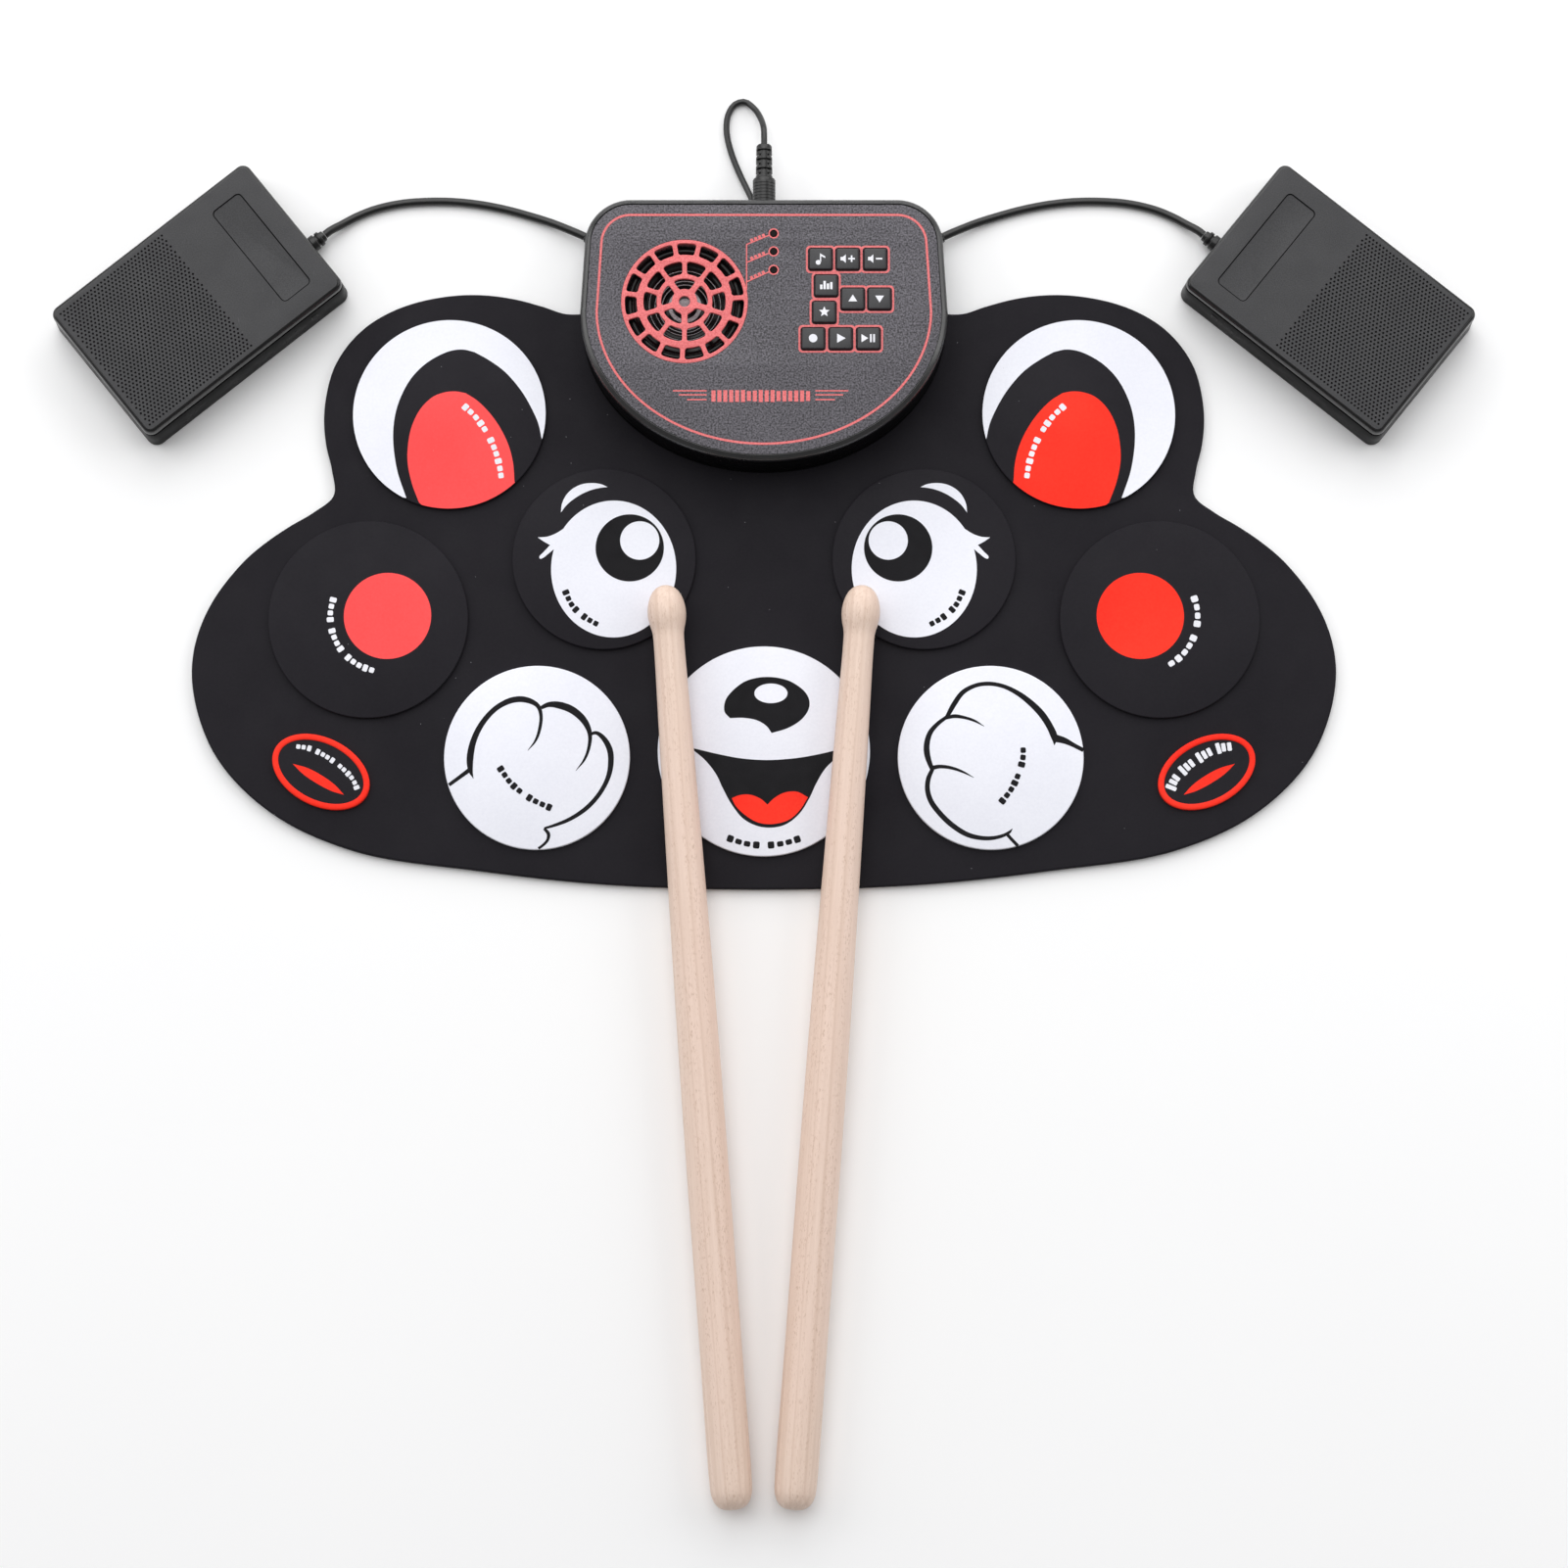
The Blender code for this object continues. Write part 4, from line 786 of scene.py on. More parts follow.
RIGHT_PAW = [
    [(-18.0, 16.6, 1.2), (-17.0, 18.4, 1.5), (-15.1, 21.8, 1.7), (-11.3, 27.0, 1.6), (-5.9, 29.9, 1.4),
     (-0.4, 30.6, 1.4), (5.5, 29.5, 1.4), (11.5, 26.5, 1.7), (17.0, 22.2, 2.1), (21.3, 17.6, 2.3),
     (24.4, 12.6, 2.3), (26.1, 8.4, 2.2), (26.1, 5.0, 0.1)],
    [(38.0, 3.0, 1.4), (33.8, 5.2, 1.5), (30.4, 6.9, 2.1), (26.9, 7.9, 2.6)],
    [(-18.4, 16.4, 1.2), (-14.6, 17.1, 1.3), (-10.2, 16.4, 1.0), (-6.4, 15.1, 0.8), (-2.6, 12.9, 0.1)],
    [(-17.9, 16.8, 1.2), (-21.6, 14.0, 1.4), (-24.8, 10.2, 1.7), (-26.2, 5.3, 2.0), (-26.0, 1.0, 2.0),
     (-24.8, -3.0, 1.6), (-23.8, -5.2, 1.4)],
    [(-24.3, -4.4, 1.5), (-21.1, -3.8, 1.3), (-16.8, -4.2, 1.1), (-11.9, -5.8, 0.8), (-7.0, -8.3, 0.1)],
    [(-23.9, -4.8, 1.3), (-25.6, -8.8, 1.6), (-26.0, -13.2, 1.7), (-24.6, -18.1, 1.8), (-21.1, -23.0, 1.8),
     (-16.2, -27.8, 1.8), (-10.2, -31.7, 1.7), (-4.8, -33.2, 1.5), (0.7, -33.3, 1.3), (5.3, -32.1, 1.1),
     (7.5, -30.8, 0.9), (8.7, -29.4, 0.1)],
    [(6.2, -31.5, 1.1), (8.8, -34.4, 1.1), (10.9, -36.6, 1.1)],
]


def make_paws():
    for node, lines, path, words in (
        ("snare_pad", LEFT_PAW, [(-15.6, -3.6), (-10.3, -10.9), (-2.3, -17.1), (6.4, -21.2)], (5, 4)),
        ("floor_tom_pad", RIGHT_PAW, [(3.6, -19.2), (8.3, -13.2), (11.6, -6.1), (13.2, -0.1), (13.3, 4.6)],
         (5, 3)),
    ):
        art = Art(node)
        art.strokes("paw", lines, INK_BLACK)
        art.caption(path, INK_BLACK, words, layer=1)


NOSE = [
    [(-13.9, 13.6), (-16.1, 16.2), (-15.9, 20.6), (-13.6, 24.2), (-8.2, 28.6), (-3.0, 30.3), (2.1, 30.7),
     (7.0, 30.1), (11.4, 28.6), (16.6, 24.8), (18.6, 21.2), (18.4, 17.4), (15.6, 13.2), (10.1, 9.6),
     (3.2, 7.4)],
    [(3.2, 7.4), (1.2, 10.2), (-2.6, 12.6), (-8.2, 13.7), (-13.9, 13.6)],
]
MOUTH = [
    [(33.4, 1.2), (21.5, -1.6), (12.3, -3.1), (1.2, -3.8), (-9.3, -3.1), (-18.4, -1.4), (-30.4, 1.5)],
    [(-30.4, 1.5), (-24.3, -3.6), (-19.7, -9.4), (-16.7, -15.6), (-13.3, -21.9), (-8.4, -28.0),
     (-2.7, -31.0), (3.2, -31.7), (8.9, -30.4), (14.6, -25.9), (18.6, -19.6), (21.5, -13.4),
     (24.9, -7.7), (29.6, -2.8), (33.4, 1.2)],
]
TONGUE = [
    [(1.5, -22.2), (-1.3, -19.8), (-5.9, -18.1), (-10.2, -18.4), (-13.1, -19.6)],
    [(-13.1, -19.6), (-11.6, -22.6), (-8.2, -26.1), (-2.7, -29.5), (3.2, -30.3), (10.1, -28.6),
     (14.6, -24.7), (18.1, -19.2)],
    [(18.1, -19.2), (13.5, -16.9), (8.4, -17.3), (4.2, -19.6), (1.5, -22.2)],
]


def make_muzzle():
    art = Art("bass_pad")
    glint = ellipse(2.9 * MM, 23.9 * MM, 6.8 * MM, 4.1 * MM)
    art.add("nose", [art.corners(NOSE), glint], INK_BLACK)
    art.add("mouth", [art.corners(MOUTH)], INK_BLACK)
    art.add("tongue", [art.corners(TONGUE)], PAD_RED, layer=1)
    art.caption([(-15.4, -35.7), (-7.4, -38.3), (0.4, -39.0), (8.0, -38.2), (15.4, -36.0)],
                INK_BLACK, (4, 4))


# Centre and radius of a cymbal pad's spot, and the radius of its caption
SPOT = (8.0, 1.4)
SPOT_RADIUS = 18.0
SPOT_CAPTION = 23.6


def make_cymbal(node, mirror, colour, start, end, words):
    """A cymbal's spot, with its caption between two angles round it."""
    art = Art(node, mirror)
    x, y = SPOT
    art.add("spot", [ellipse(mirror * x * MM, y * MM, SPOT_RADIUS * MM, SPOT_RADIUS * MM)], colour)
    art.caption(arc(x, y, SPOT_CAPTION, start, end, 6), INK_WHITE, words)


OVAL_TILT = math.radians(27)
OVAL_HALF = (21.3, 14.0)
OVAL_RING = 2.5
# Depth of the field below the ring's top
OVAL_SUNK = 0.45
LENS = [
    [(11.6, 3.3), (5.6, 1.6), (-0.4, -1.5), (-6.0, -5.6), (-9.6, -9.5)],
    [(-9.6, -9.5), (-4.6, -8.0), (1.6, -4.8), (7.2, -1.0), (11.6, 3.3)],
]
LENS_CAPTION = [(-15.2, -7.6), (-13.1, -3.1), (-8.4, 1.8), (-2.2, 6.3), (4.6, 9.6), (10.6, 10.6)]


def make_oval(node, side, words, height):
    """A small pad with a rounded red ring round a charcoal field."""
    centre = centre_of(node)
    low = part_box("mat_top_skin")[1].z / MM
    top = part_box(node)[1].z / MM
    tilt = side * OVAL_TILT
    outline = ellipse(centre.x, centre.y, OVAL_HALF[0] * MM, OVAL_HALF[1] * MM, 128, tilt)
    ring = shell(node + "_ring", outline, [
        (0.0, low), (0.0, top - 0.6), (0.1, top - 0.3), (0.4, top - 0.08), (1.0, top),
        (OVAL_RING - 0.9, top), (OVAL_RING - 0.35, top - 0.08), (OVAL_RING - 0.08, top - 0.3),
        (OVAL_RING, top - 0.55), (OVAL_RING, low),
    ], PAD_RED, closed=True)
    stand_in(ring, node)
    field = shell(node + "_field", outline, [
        (OVAL_RING - 0.2, low), (OVAL_RING - 0.2, top - OVAL_SUNK),
    ], PAD_BLACK)
    detail(field, node, "charcoal_silicone")
    art = Art(node, side)
    art.top -= OVAL_SUNK * MM
    art.add("lens", [art.corners(LENS)], PAD_RED)
    art.caption(LENS_CAPTION, INK_WHITE, words, height)


def make_pads():
    for word in ("left_crash", "right_crash", "hihat", "ride", "high_tom", "low_tom"):
        make_disc(word + "_pad", PAD_BLACK)
    for word in ("snare", "floor_tom", "bass"):
        make_disc(word + "_pad", PAD_WHITE)
    make_ear("left_crash_pad", 1, PAD_CORAL)
    make_ear("right_crash_pad", -1, PAD_RED)
    make_eye("high_tom_pad", 1)
    make_eye("low_tom_pad", -1)
    make_paws()
    make_muzzle()
    make_cymbal("hihat_pad", 1, PAD_CORAL, 160, 258, (4, 4, 5))
    make_cymbal("ride_pad", -1, PAD_RED, 158, 242, (4, 5))
    make_oval("closed_hihat_pad", -1, (6, 4, 3), 2.4)
    make_oval("effect_pad", 1, (3, 3, 3, 3), 4.6)


# ---------------------------------------------------------------- cords

# Points of a cord on the floor between its fittings; the right cable's route is the left one's mirror image
CABLE_ROUTE_MM = [
    (-177.0, 154.6, 2.9), (-170.5, 158.5, 1.9), (-162.5, 161.8, 1.7), (-152, 164.2, 1.7),
    (-141, 165.1, 1.7), (-130, 165.0, 1.7), (-119, 163.8, 1.7), (-108, 161.6, 1.7),
    (-97, 158.5, 1.8), (-88, 155.3, 2.7), (-82, 152.6, 3.8),
]
LEAD_ROUTE_MM = [
    (-0.2, 194.0, 11.4), (-1.6, 199.8, 6.6), (-4.4, 205.2, 2.8), (-8.4, 208.4, 1.5),
    (-12.4, 207.2, 1.4), (-15.2, 202.6, 1.4), (-15.9, 196.6, 1.4), (-15.0, 190.4, 1.4),
    (-12.8, 183.2, 1.4), (-9.6, 175.4, 1.9), (-7.0, 169.6, 3.1),
]
CABLE_RADIUS = 1.7 * MM
LEAD_RADIUS = 1.3 * MM
# Length of a cord's straight part at each fitting
LEAD_OUT = 3 * MM
# Heights of the cable holes and of the power socket, in millimetres
CABLE_Z = 4.2
SOCKET_Z = 13.6
BACKWARDS = Vector((0, 1, 0))


def make_cord(name, node, start, start_way, middle, end, end_way, radius, **options):
    """A cord as one curve, straight out of one fitting and straight into the other."""
    route = [start, start + start_way * LEAD_OUT]
    route += [Vector(point) * MM for point in middle]
    route += [end + end_way * LEAD_OUT, end]
    points = smooth_curve(route, 1.5 * radius)
    cord = stand_in(rod(name, points, radius, CORD_BLACK, bevel_steps=6), node)


def make_cords():
    for word, side in (("left", 1), ("right", -1)):
        mirror = Vector((side, 1, 1))
        start, start_way, end, end_way = (Vector(place) * mirror for place in (
            (-183.36, 150.13, CABLE_Z), (0.7771, 0.6293, 0), (-74.85, 149.34, CABLE_Z), (-0.906, 0.423, 0)))
        middle = [Vector(point) * mirror for point in CABLE_ROUTE_MM]
        make_cord(word + "_cable", word + "_pedal_cable", start * MM, start_way, middle, end * MM, end_way,
                  CABLE_RADIUS)
    make_cord("charging_lead", "link_lead", Vector((0, 186.2, SOCKET_Z)) * MM, BACKWARDS, LEAD_ROUTE_MM,
              Vector((-5.2, 162.1, CABLE_Z)) * MM, BACKWARDS, LEAD_RADIUS, stiffness="limp")


# ---------------------------------------------------------------- console

HALF_WIDTH = 75.6 * MM
MIDDLE_Y = 111.5 * MM
FRONT_DEPTH = 62.7 * MM
BACK_Y = 159.0 * MM
CORNER = 19.0 * MM
CORNER_X = 54.82 * MM
SIDE_TAPER = 3.5
STEP_Y = 140.3 * MM
PLATE_INSET = 2.6
RIM_LOW = 24.7 * MM
PLATE_TOP = 27.7
SPEAKER = Vector((-32.6, 115.5)) * MM
GRILLE_RADIUS = 26.0
# Rings of slots as parts of the grille's radius: inner, outer, slot count, first angle, web width
GRILLE_RINGS = [(0.20, 0.37, 5, 90, 2.4), (0.44, 0.65, 10, 0, 1.9), (0.755, 0.943, 15, 88, 1.9)]
# Radii of the hole and the ring of an indicator light
LIGHT_HOLE = 1.6
LIGHT_RING = 2.15
LIGHT_X = 4.0
LIGHT_YS = (144.2, 136.6, 128.8)
# The trunk of the printed tree that joins the lights, and the heights of its branches
TREE_X = -7.1
TREE_LOW = 120.4
TREE_YS = (139.5, 131.9, 123.7)
# Material slot of the coral print on the panel
SALMON = "red_silicone"


def console_outline():
    """The case's D shape: two rounded corners at the back and half an ellipse at the front."""
    corner_y = BACK_Y - CORNER
    right = arc(CORNER_X, corner_y, CORNER, SIDE_TAPER, 90, 20)
    left = [Vector((-point.x, point.y)) for point in reversed(right)]
    front = []
    for step in range(73):
        turn = math.pi + math.pi * step / 72
        front.append(Vector((HALF_WIDTH * math.cos(turn), MIDDLE_Y + FRONT_DEPTH * math.sin(turn))))
    return dense(right + left + front, 4 * MM)


def dense(outline, spacing):
    """The closed outline with its long straight stretches divided."""
    points = []
    for start, end in zip(outline, outline[1:] + outline[:1]):
        pieces = max(1, math.ceil((end - start).length / spacing))
        points += [start.lerp(end, piece / pieces) for piece in range(pieces)]
    return points


def make_case():
    """The floor with its heel, and the cover with openings for the socket and the power slider."""
    outline = console_outline()
    # The floor and the heel take the darker wall black: painted shade
    base = shell("console_floor", outline, [
        (0.5, 3.45), (0.12, 3.6), (0.0, 3.95), (0.0, 7.6), (0.12, 7.88), (0.45, 8.0),
    ], SHADED_WALL_BLACK)
    heel = [point for point in outline if point.y > STEP_Y]
    foot = shell("console_foot", heel, [
        (0.5, 0.0), (0.12, 0.12), (0.0, 0.5), (0.0, 3.7),
    ], SHADED_WALL_BLACK)
    stand_in(joined("console_underside", [base, foot]), "console_base")
    cover = shell("console_shell", outline, [
        (0.45, 8.3), (0.12, 8.42), (0.0, 8.7), (0.0, 24.8), (0.04, 25.5), (0.18, 26.1), (0.45, 26.6),
        (0.9, 27.05), (1.5, 27.5), (2.0, 27.85), (2.2, 28.0), (2.32, 27.95), (2.36, 27.6),
        (2.36, 25.8), (6.0, 25.8), (6.0, 24.2), (2.4, 24.2), (2.4, 8.3),
    ], COVER_BLACK, closed=True)
    hole = turned("socket_cut", [(3.6, 0), (3.6, 8)], steps=40)
    aim(hole, Vector((0, BACK_Y - 5 * MM, SOCKET_Z * MM)), BACKWARDS)
    slot = block("knob_cut", (31.6, 152, 11.0), (40.8, 162, 16.2), edge=0.4)
    shaped = boolean(cover, [hole, slot])
    # Near-vertical faces below the rim get the darker wall black: painted shade on the cover's walls
    shaped.data.materials.append(SHADED_WALL_BLACK)
    for face in shaped.data.polygons:
        if face.center.z < RIM_LOW and abs(face.normal.z) < 0.3:
            face.material_index = 1
    stand_in(shaped, "console_cover")


def grille_slot(inner, outer, middle, spread, web):
    """One slot with rounded corners, whose side webs keep an even width. Angles are in radians."""
    mean = (inner + outer) / 2
    half = spread * mean / 2 - web / 2
    corner = min(half, (outer - inner) / 2) * 0.42
    points = []
    for point in dense(rounded_rectangle(0, mean, 2 * half, outer - inner, corner, 5), 0.7):
        reach = spread / 2 - web / (2 * point.y)
        turn = middle - point.x / half * reach
        points.append(SPEAKER + Vector((math.cos(turn), math.sin(turn))) * point.y * MM)
    return points


def make_grille():
    """The grille's rings of slots round a small hole."""
    slots = [ellipse(*SPEAKER, 0.09 * GRILLE_RADIUS * MM, 0.09 * GRILLE_RADIUS * MM, 32)]
    for inner, outer, count, first, web in GRILLE_RINGS:
        for index in range(count):
            middle = math.radians(first) + math.tau * index / count
            slots.append(grille_slot(
                inner * GRILLE_RADIUS, outer * GRILLE_RADIUS, middle, math.tau / count, web))
    rim = ellipse(*SPEAKER, GRILLE_RADIUS * MM, GRILLE_RADIUS * MM, 144)
    grille = plate("speaker_grille", [rim, *slots], 26.2 * MM, (PLATE_TOP + 0.12) * MM, INK_SALMON,
                   bevel=0.12 * MM)
    detail(grille, "console_faceplate", SALMON)


KEY_SIZE = (9.5, 9.1)
ICON_DEPTH = 0.06
ICON_SCALE = 1.2
PANEL_INK = 0.05
TITLE_Y = 75.7
TITLE_BARS = 17
TITLE_PITCH = 2.42


def disc(x, y, radius):
    return [tuple(point) for point in ellipse(x, y, radius, radius, 28)]


def bar(left, low, right, high):
    return [(left, low), (right, low), (right, high), (left, high)]


def plus(x, y, half, thin):
    corners = [(thin, thin), (half, thin), (half, -thin), (thin, -thin), (thin, -half), (-thin, -half),
               (-thin, -thin), (-half, -thin), (-half, thin), (-thin, thin), (-thin, half), (thin, half)]
    return [(x + across, y + up) for across, up in corners]


def star(radius):
    points = []
    for index in range(10):
        reach = radius if index % 2 == 0 else 0.45 * radius
        turn = math.radians(90 + 36 * index)
        points.append((reach * math.cos(turn), reach * math.sin(turn)))
    return points


# Marks of the keys in millimetres, before scaling
LOUDSPEAKER = [(-2.5, -0.6), (-1.7, -0.6), (-0.7, -1.5), (-0.7, 1.5), (-1.7, 0.6), (-2.5, 0.6)]
ICONS = {
    "key_demo": [
        disc(-0.8, -1.3, 0.85), [(-0.2, -1.1), (0.2, -1.1), (0.2, 0.9), (1.6, 0.2), (1.6, 0.8), (-0.2, 1.9)],
    ],
    "key_volume_up": [LOUDSPEAKER, plus(1.3, 0, 1.15, 0.28)],
    "key_volume_down": [LOUDSPEAKER, bar(0.2, -0.28, 2.4, 0.28)],
    "key_rhythm": [
        bar(-2.1, -1.4, -1.3, 0.2), bar(-0.95, -1.4, -0.15, 1.5), bar(0.2, -1.4, 1.0, 0.6),
        bar(1.35, -1.4, 2.15, 1.1),
    ],
    "key_tempo_up": [[(-1.5, -1.0), (1.5, -1.0), (0, 1.4)]],
    "key_tempo_down": [[(-1.5, 1.0), (0, -1.4), (1.5, 1.0)]],
    "key_style": [star(1.9)],
    "key_record": [disc(0, 0, 1.45)],
    "key_play": [[(-1.2, -1.6), (1.7, 0), (-1.2, 1.6)]],
    "key_start_stop": [
        [(-2.4, -1.4), (-0.1, 0), (-2.4, 1.4)], bar(0.5, -1.4, 1.1, 1.4), bar(1.6, -1.4, 2.2, 1.4),
    ],
}


def make_keys():
    """The caps, each with a flange under the panel, and the raised mark on each."""
    for node, shapes in ICONS.items():
        centre = centre_of(node)
        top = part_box(node)[1].z / MM - ICON_DEPTH
        cap = boxy(node + "_cap", *KEY_SIZE, 1.0, [
            (1.9, 23.1), (1.9, 24.4), (-0.35, 24.4), (-0.35, 25.6), (0.0, 25.6), (0.0, top - 0.75),
            (0.1, top - 0.4), (0.35, top - 0.12), (0.8, top),
        ], KEY_BLACK)
        cap.location = (centre.x, centre.y, 0)
        stand_in(cap, node)
        parts = []
        for index, shape in enumerate(shapes):
            outline = [Vector(point) * ICON_SCALE * MM + centre.xy for point in shape]
            parts.append(plate(f"{node}_mark_{index}", [outline], (top - 0.05) * MM,
                               (top + ICON_DEPTH) * MM, INK_WHITE))
        detail(joined(node + "_mark", parts), node, "white_silicone")


def key_outline(node, wider, corner, steps=8):
    """A rounded rectangle round a key; the measures are in millimetres."""
    centre = centre_of(node)
    length, width = ((size + wider) * MM for size in KEY_SIZE)
    return rounded_rectangle(centre.x, centre.y, length, width, corner * MM, steps)


def make_faceplate():
    """The grey panel, with openings for the grille, the keys and the lights."""
    outline = inset(console_outline(), PLATE_INSET * MM)
    holes = [ellipse(*SPEAKER, (GRILLE_RADIUS + 0.05) * MM, (GRILLE_RADIUS + 0.05) * MM, 144)]
    holes += [key_outline(node, 0.6, 1.3) for node in ICONS]
    holes += [ellipse(LIGHT_X * MM, y * MM, LIGHT_HOLE * MM, LIGHT_HOLE * MM, 32) for y in LIGHT_YS]
    panel = plate("console_panel", [outline, *holes], 26.1 * MM, PLATE_TOP * MM, PANEL_GREY, bevel=0.1 * MM)
    stand_in(panel, "console_faceplate")


def panel_print(name, outlines, layer=0):
    """Raised ink on the panel. The outlines after the first are holes."""
    height = PLATE_TOP * MM + (layer + 1) * PANEL_INK * MM
    return plate(name, outlines, (PLATE_TOP - 0.1) * MM, height, INK_SALMON)


def panel_line(name, start, end, width, layer=0):
    """A straight printed bar between two points in millimetres, with square ends."""
    a, b = Vector(start) * MM, Vector(end) * MM
    across = (b - a).orthogonal().normalized() * width / 2 * MM
    return panel_print(name, [[a - across, b - across, b + across, a + across]], layer)


def light_tree():
    """Rings round the lights, a trunk with a branch to each, and a row of short marks along a branch."""
    parts = []
    for index, (y, meet) in enumerate(zip(LIGHT_YS, TREE_YS)):
        parts.append(panel_print(f"light_ring_{index}", [
            ellipse(LIGHT_X * MM, y * MM, radius * MM, radius * MM, 40)
            for radius in (LIGHT_RING, LIGHT_HOLE)
        ]))
        slope = Vector((LIGHT_X - TREE_X, y - meet)).normalized()
        end = Vector((LIGHT_X, y)) - slope * 2.1
        parts.append(panel_line(f"light_branch_{index}", (TREE_X, meet), end, 0.5, layer=1))
        rise = Vector((-slope.y, slope.x)) * 1.75
        for mark in range(4):
            start = Vector((TREE_X + 2.2, meet)) + slope * 1.75 * mark + rise
            parts.append(panel_line(f"light_mark_{index}_{mark}", start, start + slope * 1.2, 1.2))
    parts.append(panel_line("light_trunk", (TREE_X, TREE_LOW), (TREE_X, TREE_YS[0] + 0.2), 0.5))
    return parts


def title():
    """A row of equaliser bars between two ornaments of three lines."""
    parts = []
    for side, near, ends in ((-1, -23.4, (-37.2, -34.8, -31.4)), (1, 21.1, (34.6, 32.5, 29.1))):
        for index, (y, far) in enumerate(zip((77.9, 76.2, 74.2), ends)):
            left, right = sorted((near, far))
            parts.append(panel_line(f"title_line_{side}_{index}", (left, y), (right, y), 0.55))
    chance = random.Random(5)
    for index in range(TITLE_BARS):
        x = -20.6 + TITLE_PITCH * index
        tall = 5.1 * (0.8 + 0.2 * chance.random())
        parts.append(panel_line(
            f"title_bar_{index}", (x, TITLE_Y - tall / 2), (x, TITLE_Y + tall / 2), 1.65))
    return parts


def make_panel_print():
    """The border line, the lights' tree and the title, as one piece."""
    outline = console_outline()
    border = [inset(outline, (PLATE_INSET + into) * MM) for into in (3.9, 4.83)]
    parts = [panel_print("panel_border", border), *light_tree(), *title()]
    detail(joined("panel_lines", parts), "console_faceplate", SALMON)


def make_key_frames():
    """One printed frame round the keys, with an opening for each."""
    frames = []
    openings = []
    for index, node in enumerate(ICONS):
        frames.append(plate(
            f"frame_{index}", [key_outline(node, 2.5, 1.7, 5)], (PLATE_TOP - 0.1) * MM,
            (PLATE_TOP + PANEL_INK) * MM))
        openings.append(plate(
            f"opening_{index}", [key_outline(node, 0.95, 1.3, 5)], (PLATE_TOP - 1) * MM,
            (PLATE_TOP + 1) * MM))
    frames[0].data.materials.append(INK_SALMON)
    whole = boolean(boolean(frames[0], frames[1:], "UNION"), openings)
    whole.name = "key_frames"
    detail(whole, "console_faceplate", SALMON)


# Light grey rings behind the grille, painted glints for reflections on the glossy cone: inner radius, outer
# radius and height
SPEAKER_GLINTS = [
    (5.3, 6.9, 19.4), (9.3, 9.65, 18.0), (10.7, 11.0, 18.6), (12.2, 12.45, 19.3), (14.6, 14.85, 20.4),
]


def make_speaker():
    """A cone with a rolled edge and ripples, a dust cap, and light grey rings painted as glints on the cone.
    """
    ripples = []
    for step in range(25):
        radius = 19.8 - 11.8 * step / 24
        ripples.append((radius, 17.2 + (radius - 8) / 12 * 5.3 + 0.14 * math.sin(radius * 2.1)))
    cone = turned("speaker_membrane", [
        (0, 15.9), (8.0, 15.9), (21.6, 21.6), (23.7, 22.8), (23.7, 23.3), (23.2, 23.7), (22.4, 23.8),
        (21.5, 23.5), (20.7, 22.8), (20.2, 22.45), *ripples, (7.7, 17.1),
    ], SPEAKER_BLACK, steps=96, angle=50)
    cone.location = (*SPEAKER, 0)
    stand_in(cone, "speaker_cone")
    cap = turned("speaker_dust_cap", [
        (3.3, 16.6), (3.4, 18.9), (3.2, 19.4), (2.7, 19.8), (1.6, 20.1), (0, 20.2),
    ], CAP_AND_GLINT_GREY, angle=60)
    rings = [cap]
    # Painted glints: light grey rings that stand for reflections on the glossy cone
    for index, (inner, outer, z) in enumerate(SPEAKER_GLINTS):
        rings.append(turned(f"speaker_glint_ring_{index}", [
            (inner, z - 1.2), (outer, z - 1.2), (outer, z), (outer - 0.08, z + 0.08),
            (inner + 0.08, z + 0.08), (inner, z),
        ], CAP_AND_GLINT_GREY, angle=40, closed=True))
    cap_and_glints = joined("speaker_cap_and_glints", rings)
    cap_and_glints.location = (*SPEAKER, 0)
    detail(cap_and_glints, "speaker_cone", "speaker_paper")


def make_knob():
    """The power slider's thumb piece, with grip ridges."""
    low, high = [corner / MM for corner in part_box("power_knob")]
    parts = [block("knob_body", low, (high.x, high.y - 0.6, high.z), CASE_BLACK, edge=0.25)]
    for index in range(4):
        x = low.x + 0.45 + 1.15 * index
        parts.append(block(f"knob_ridge_{index}", (x, high.y - 1.2, low.z + 0.3),
                           (x + 0.65, high.y, high.z - 0.3), CASE_BLACK, edge=0.15))
    stand_in(joined("power_thumb", parts), "power_knob")


def fitting(name, node, point, direction, profile):
    """A turned rubber piece whose axis starts at the point, in millimetres."""
    piece = turned(name, profile, CORD_BLACK, steps=48)
    aim(piece, Vector(point) * MM, direction)
    stand_in(piece, node)


def make_plug():
    """The DC plug: barrel, ribbed grip and a slotted strain relief."""
    steps = 60
    rings = []
    levels = [(-12.0, 2.75), (0.3, 2.75), (0.3, 4.2), (0.8, 4.7)]
    for rib in range(7):
        z = 1.4 + 1.35 * rib
        levels += [(z, 4.7), (z + 0.12, 4.5), (z + 0.4, 4.5), (z + 0.52, 4.7)]
    levels += [(11.6, 4.7), (12.3, 4.3), (12.7, 3.5)]
    levels = [(z, radius, 0) for z, radius in levels]
    for row in range(6):
        z = 13.6 + 2.0 * row
        side = 1 + row % 2
        radius = 3.45 - 0.03 * row
        levels += [(z, radius, 0), (z + 0.05, radius, side), (z + 0.95, radius, side), (z + 1.0, radius, 0)]
    levels += [(26.2, 3.2, 0), (26.9, 2.7, 0), (26.9, 1.4, 0)]
    for z, radius, side in levels:
        ring = []
        for point in ellipse(0, 0, 1, 1, steps):
            cut = side and abs(point.x if side == 1 else point.y) > 0.42
            reach = 2.2 if cut else radius
            ring.append(Vector((point.x * reach, point.y * reach, z)) * MM)
        rings.append(ring)
    plug = loft("dc_plug", rings, CORD_BLACK)
    aim(plug, Vector((0, 159, SOCKET_Z)) * MM, BACKWARDS)
    stand_in(plug, "lead_plug")


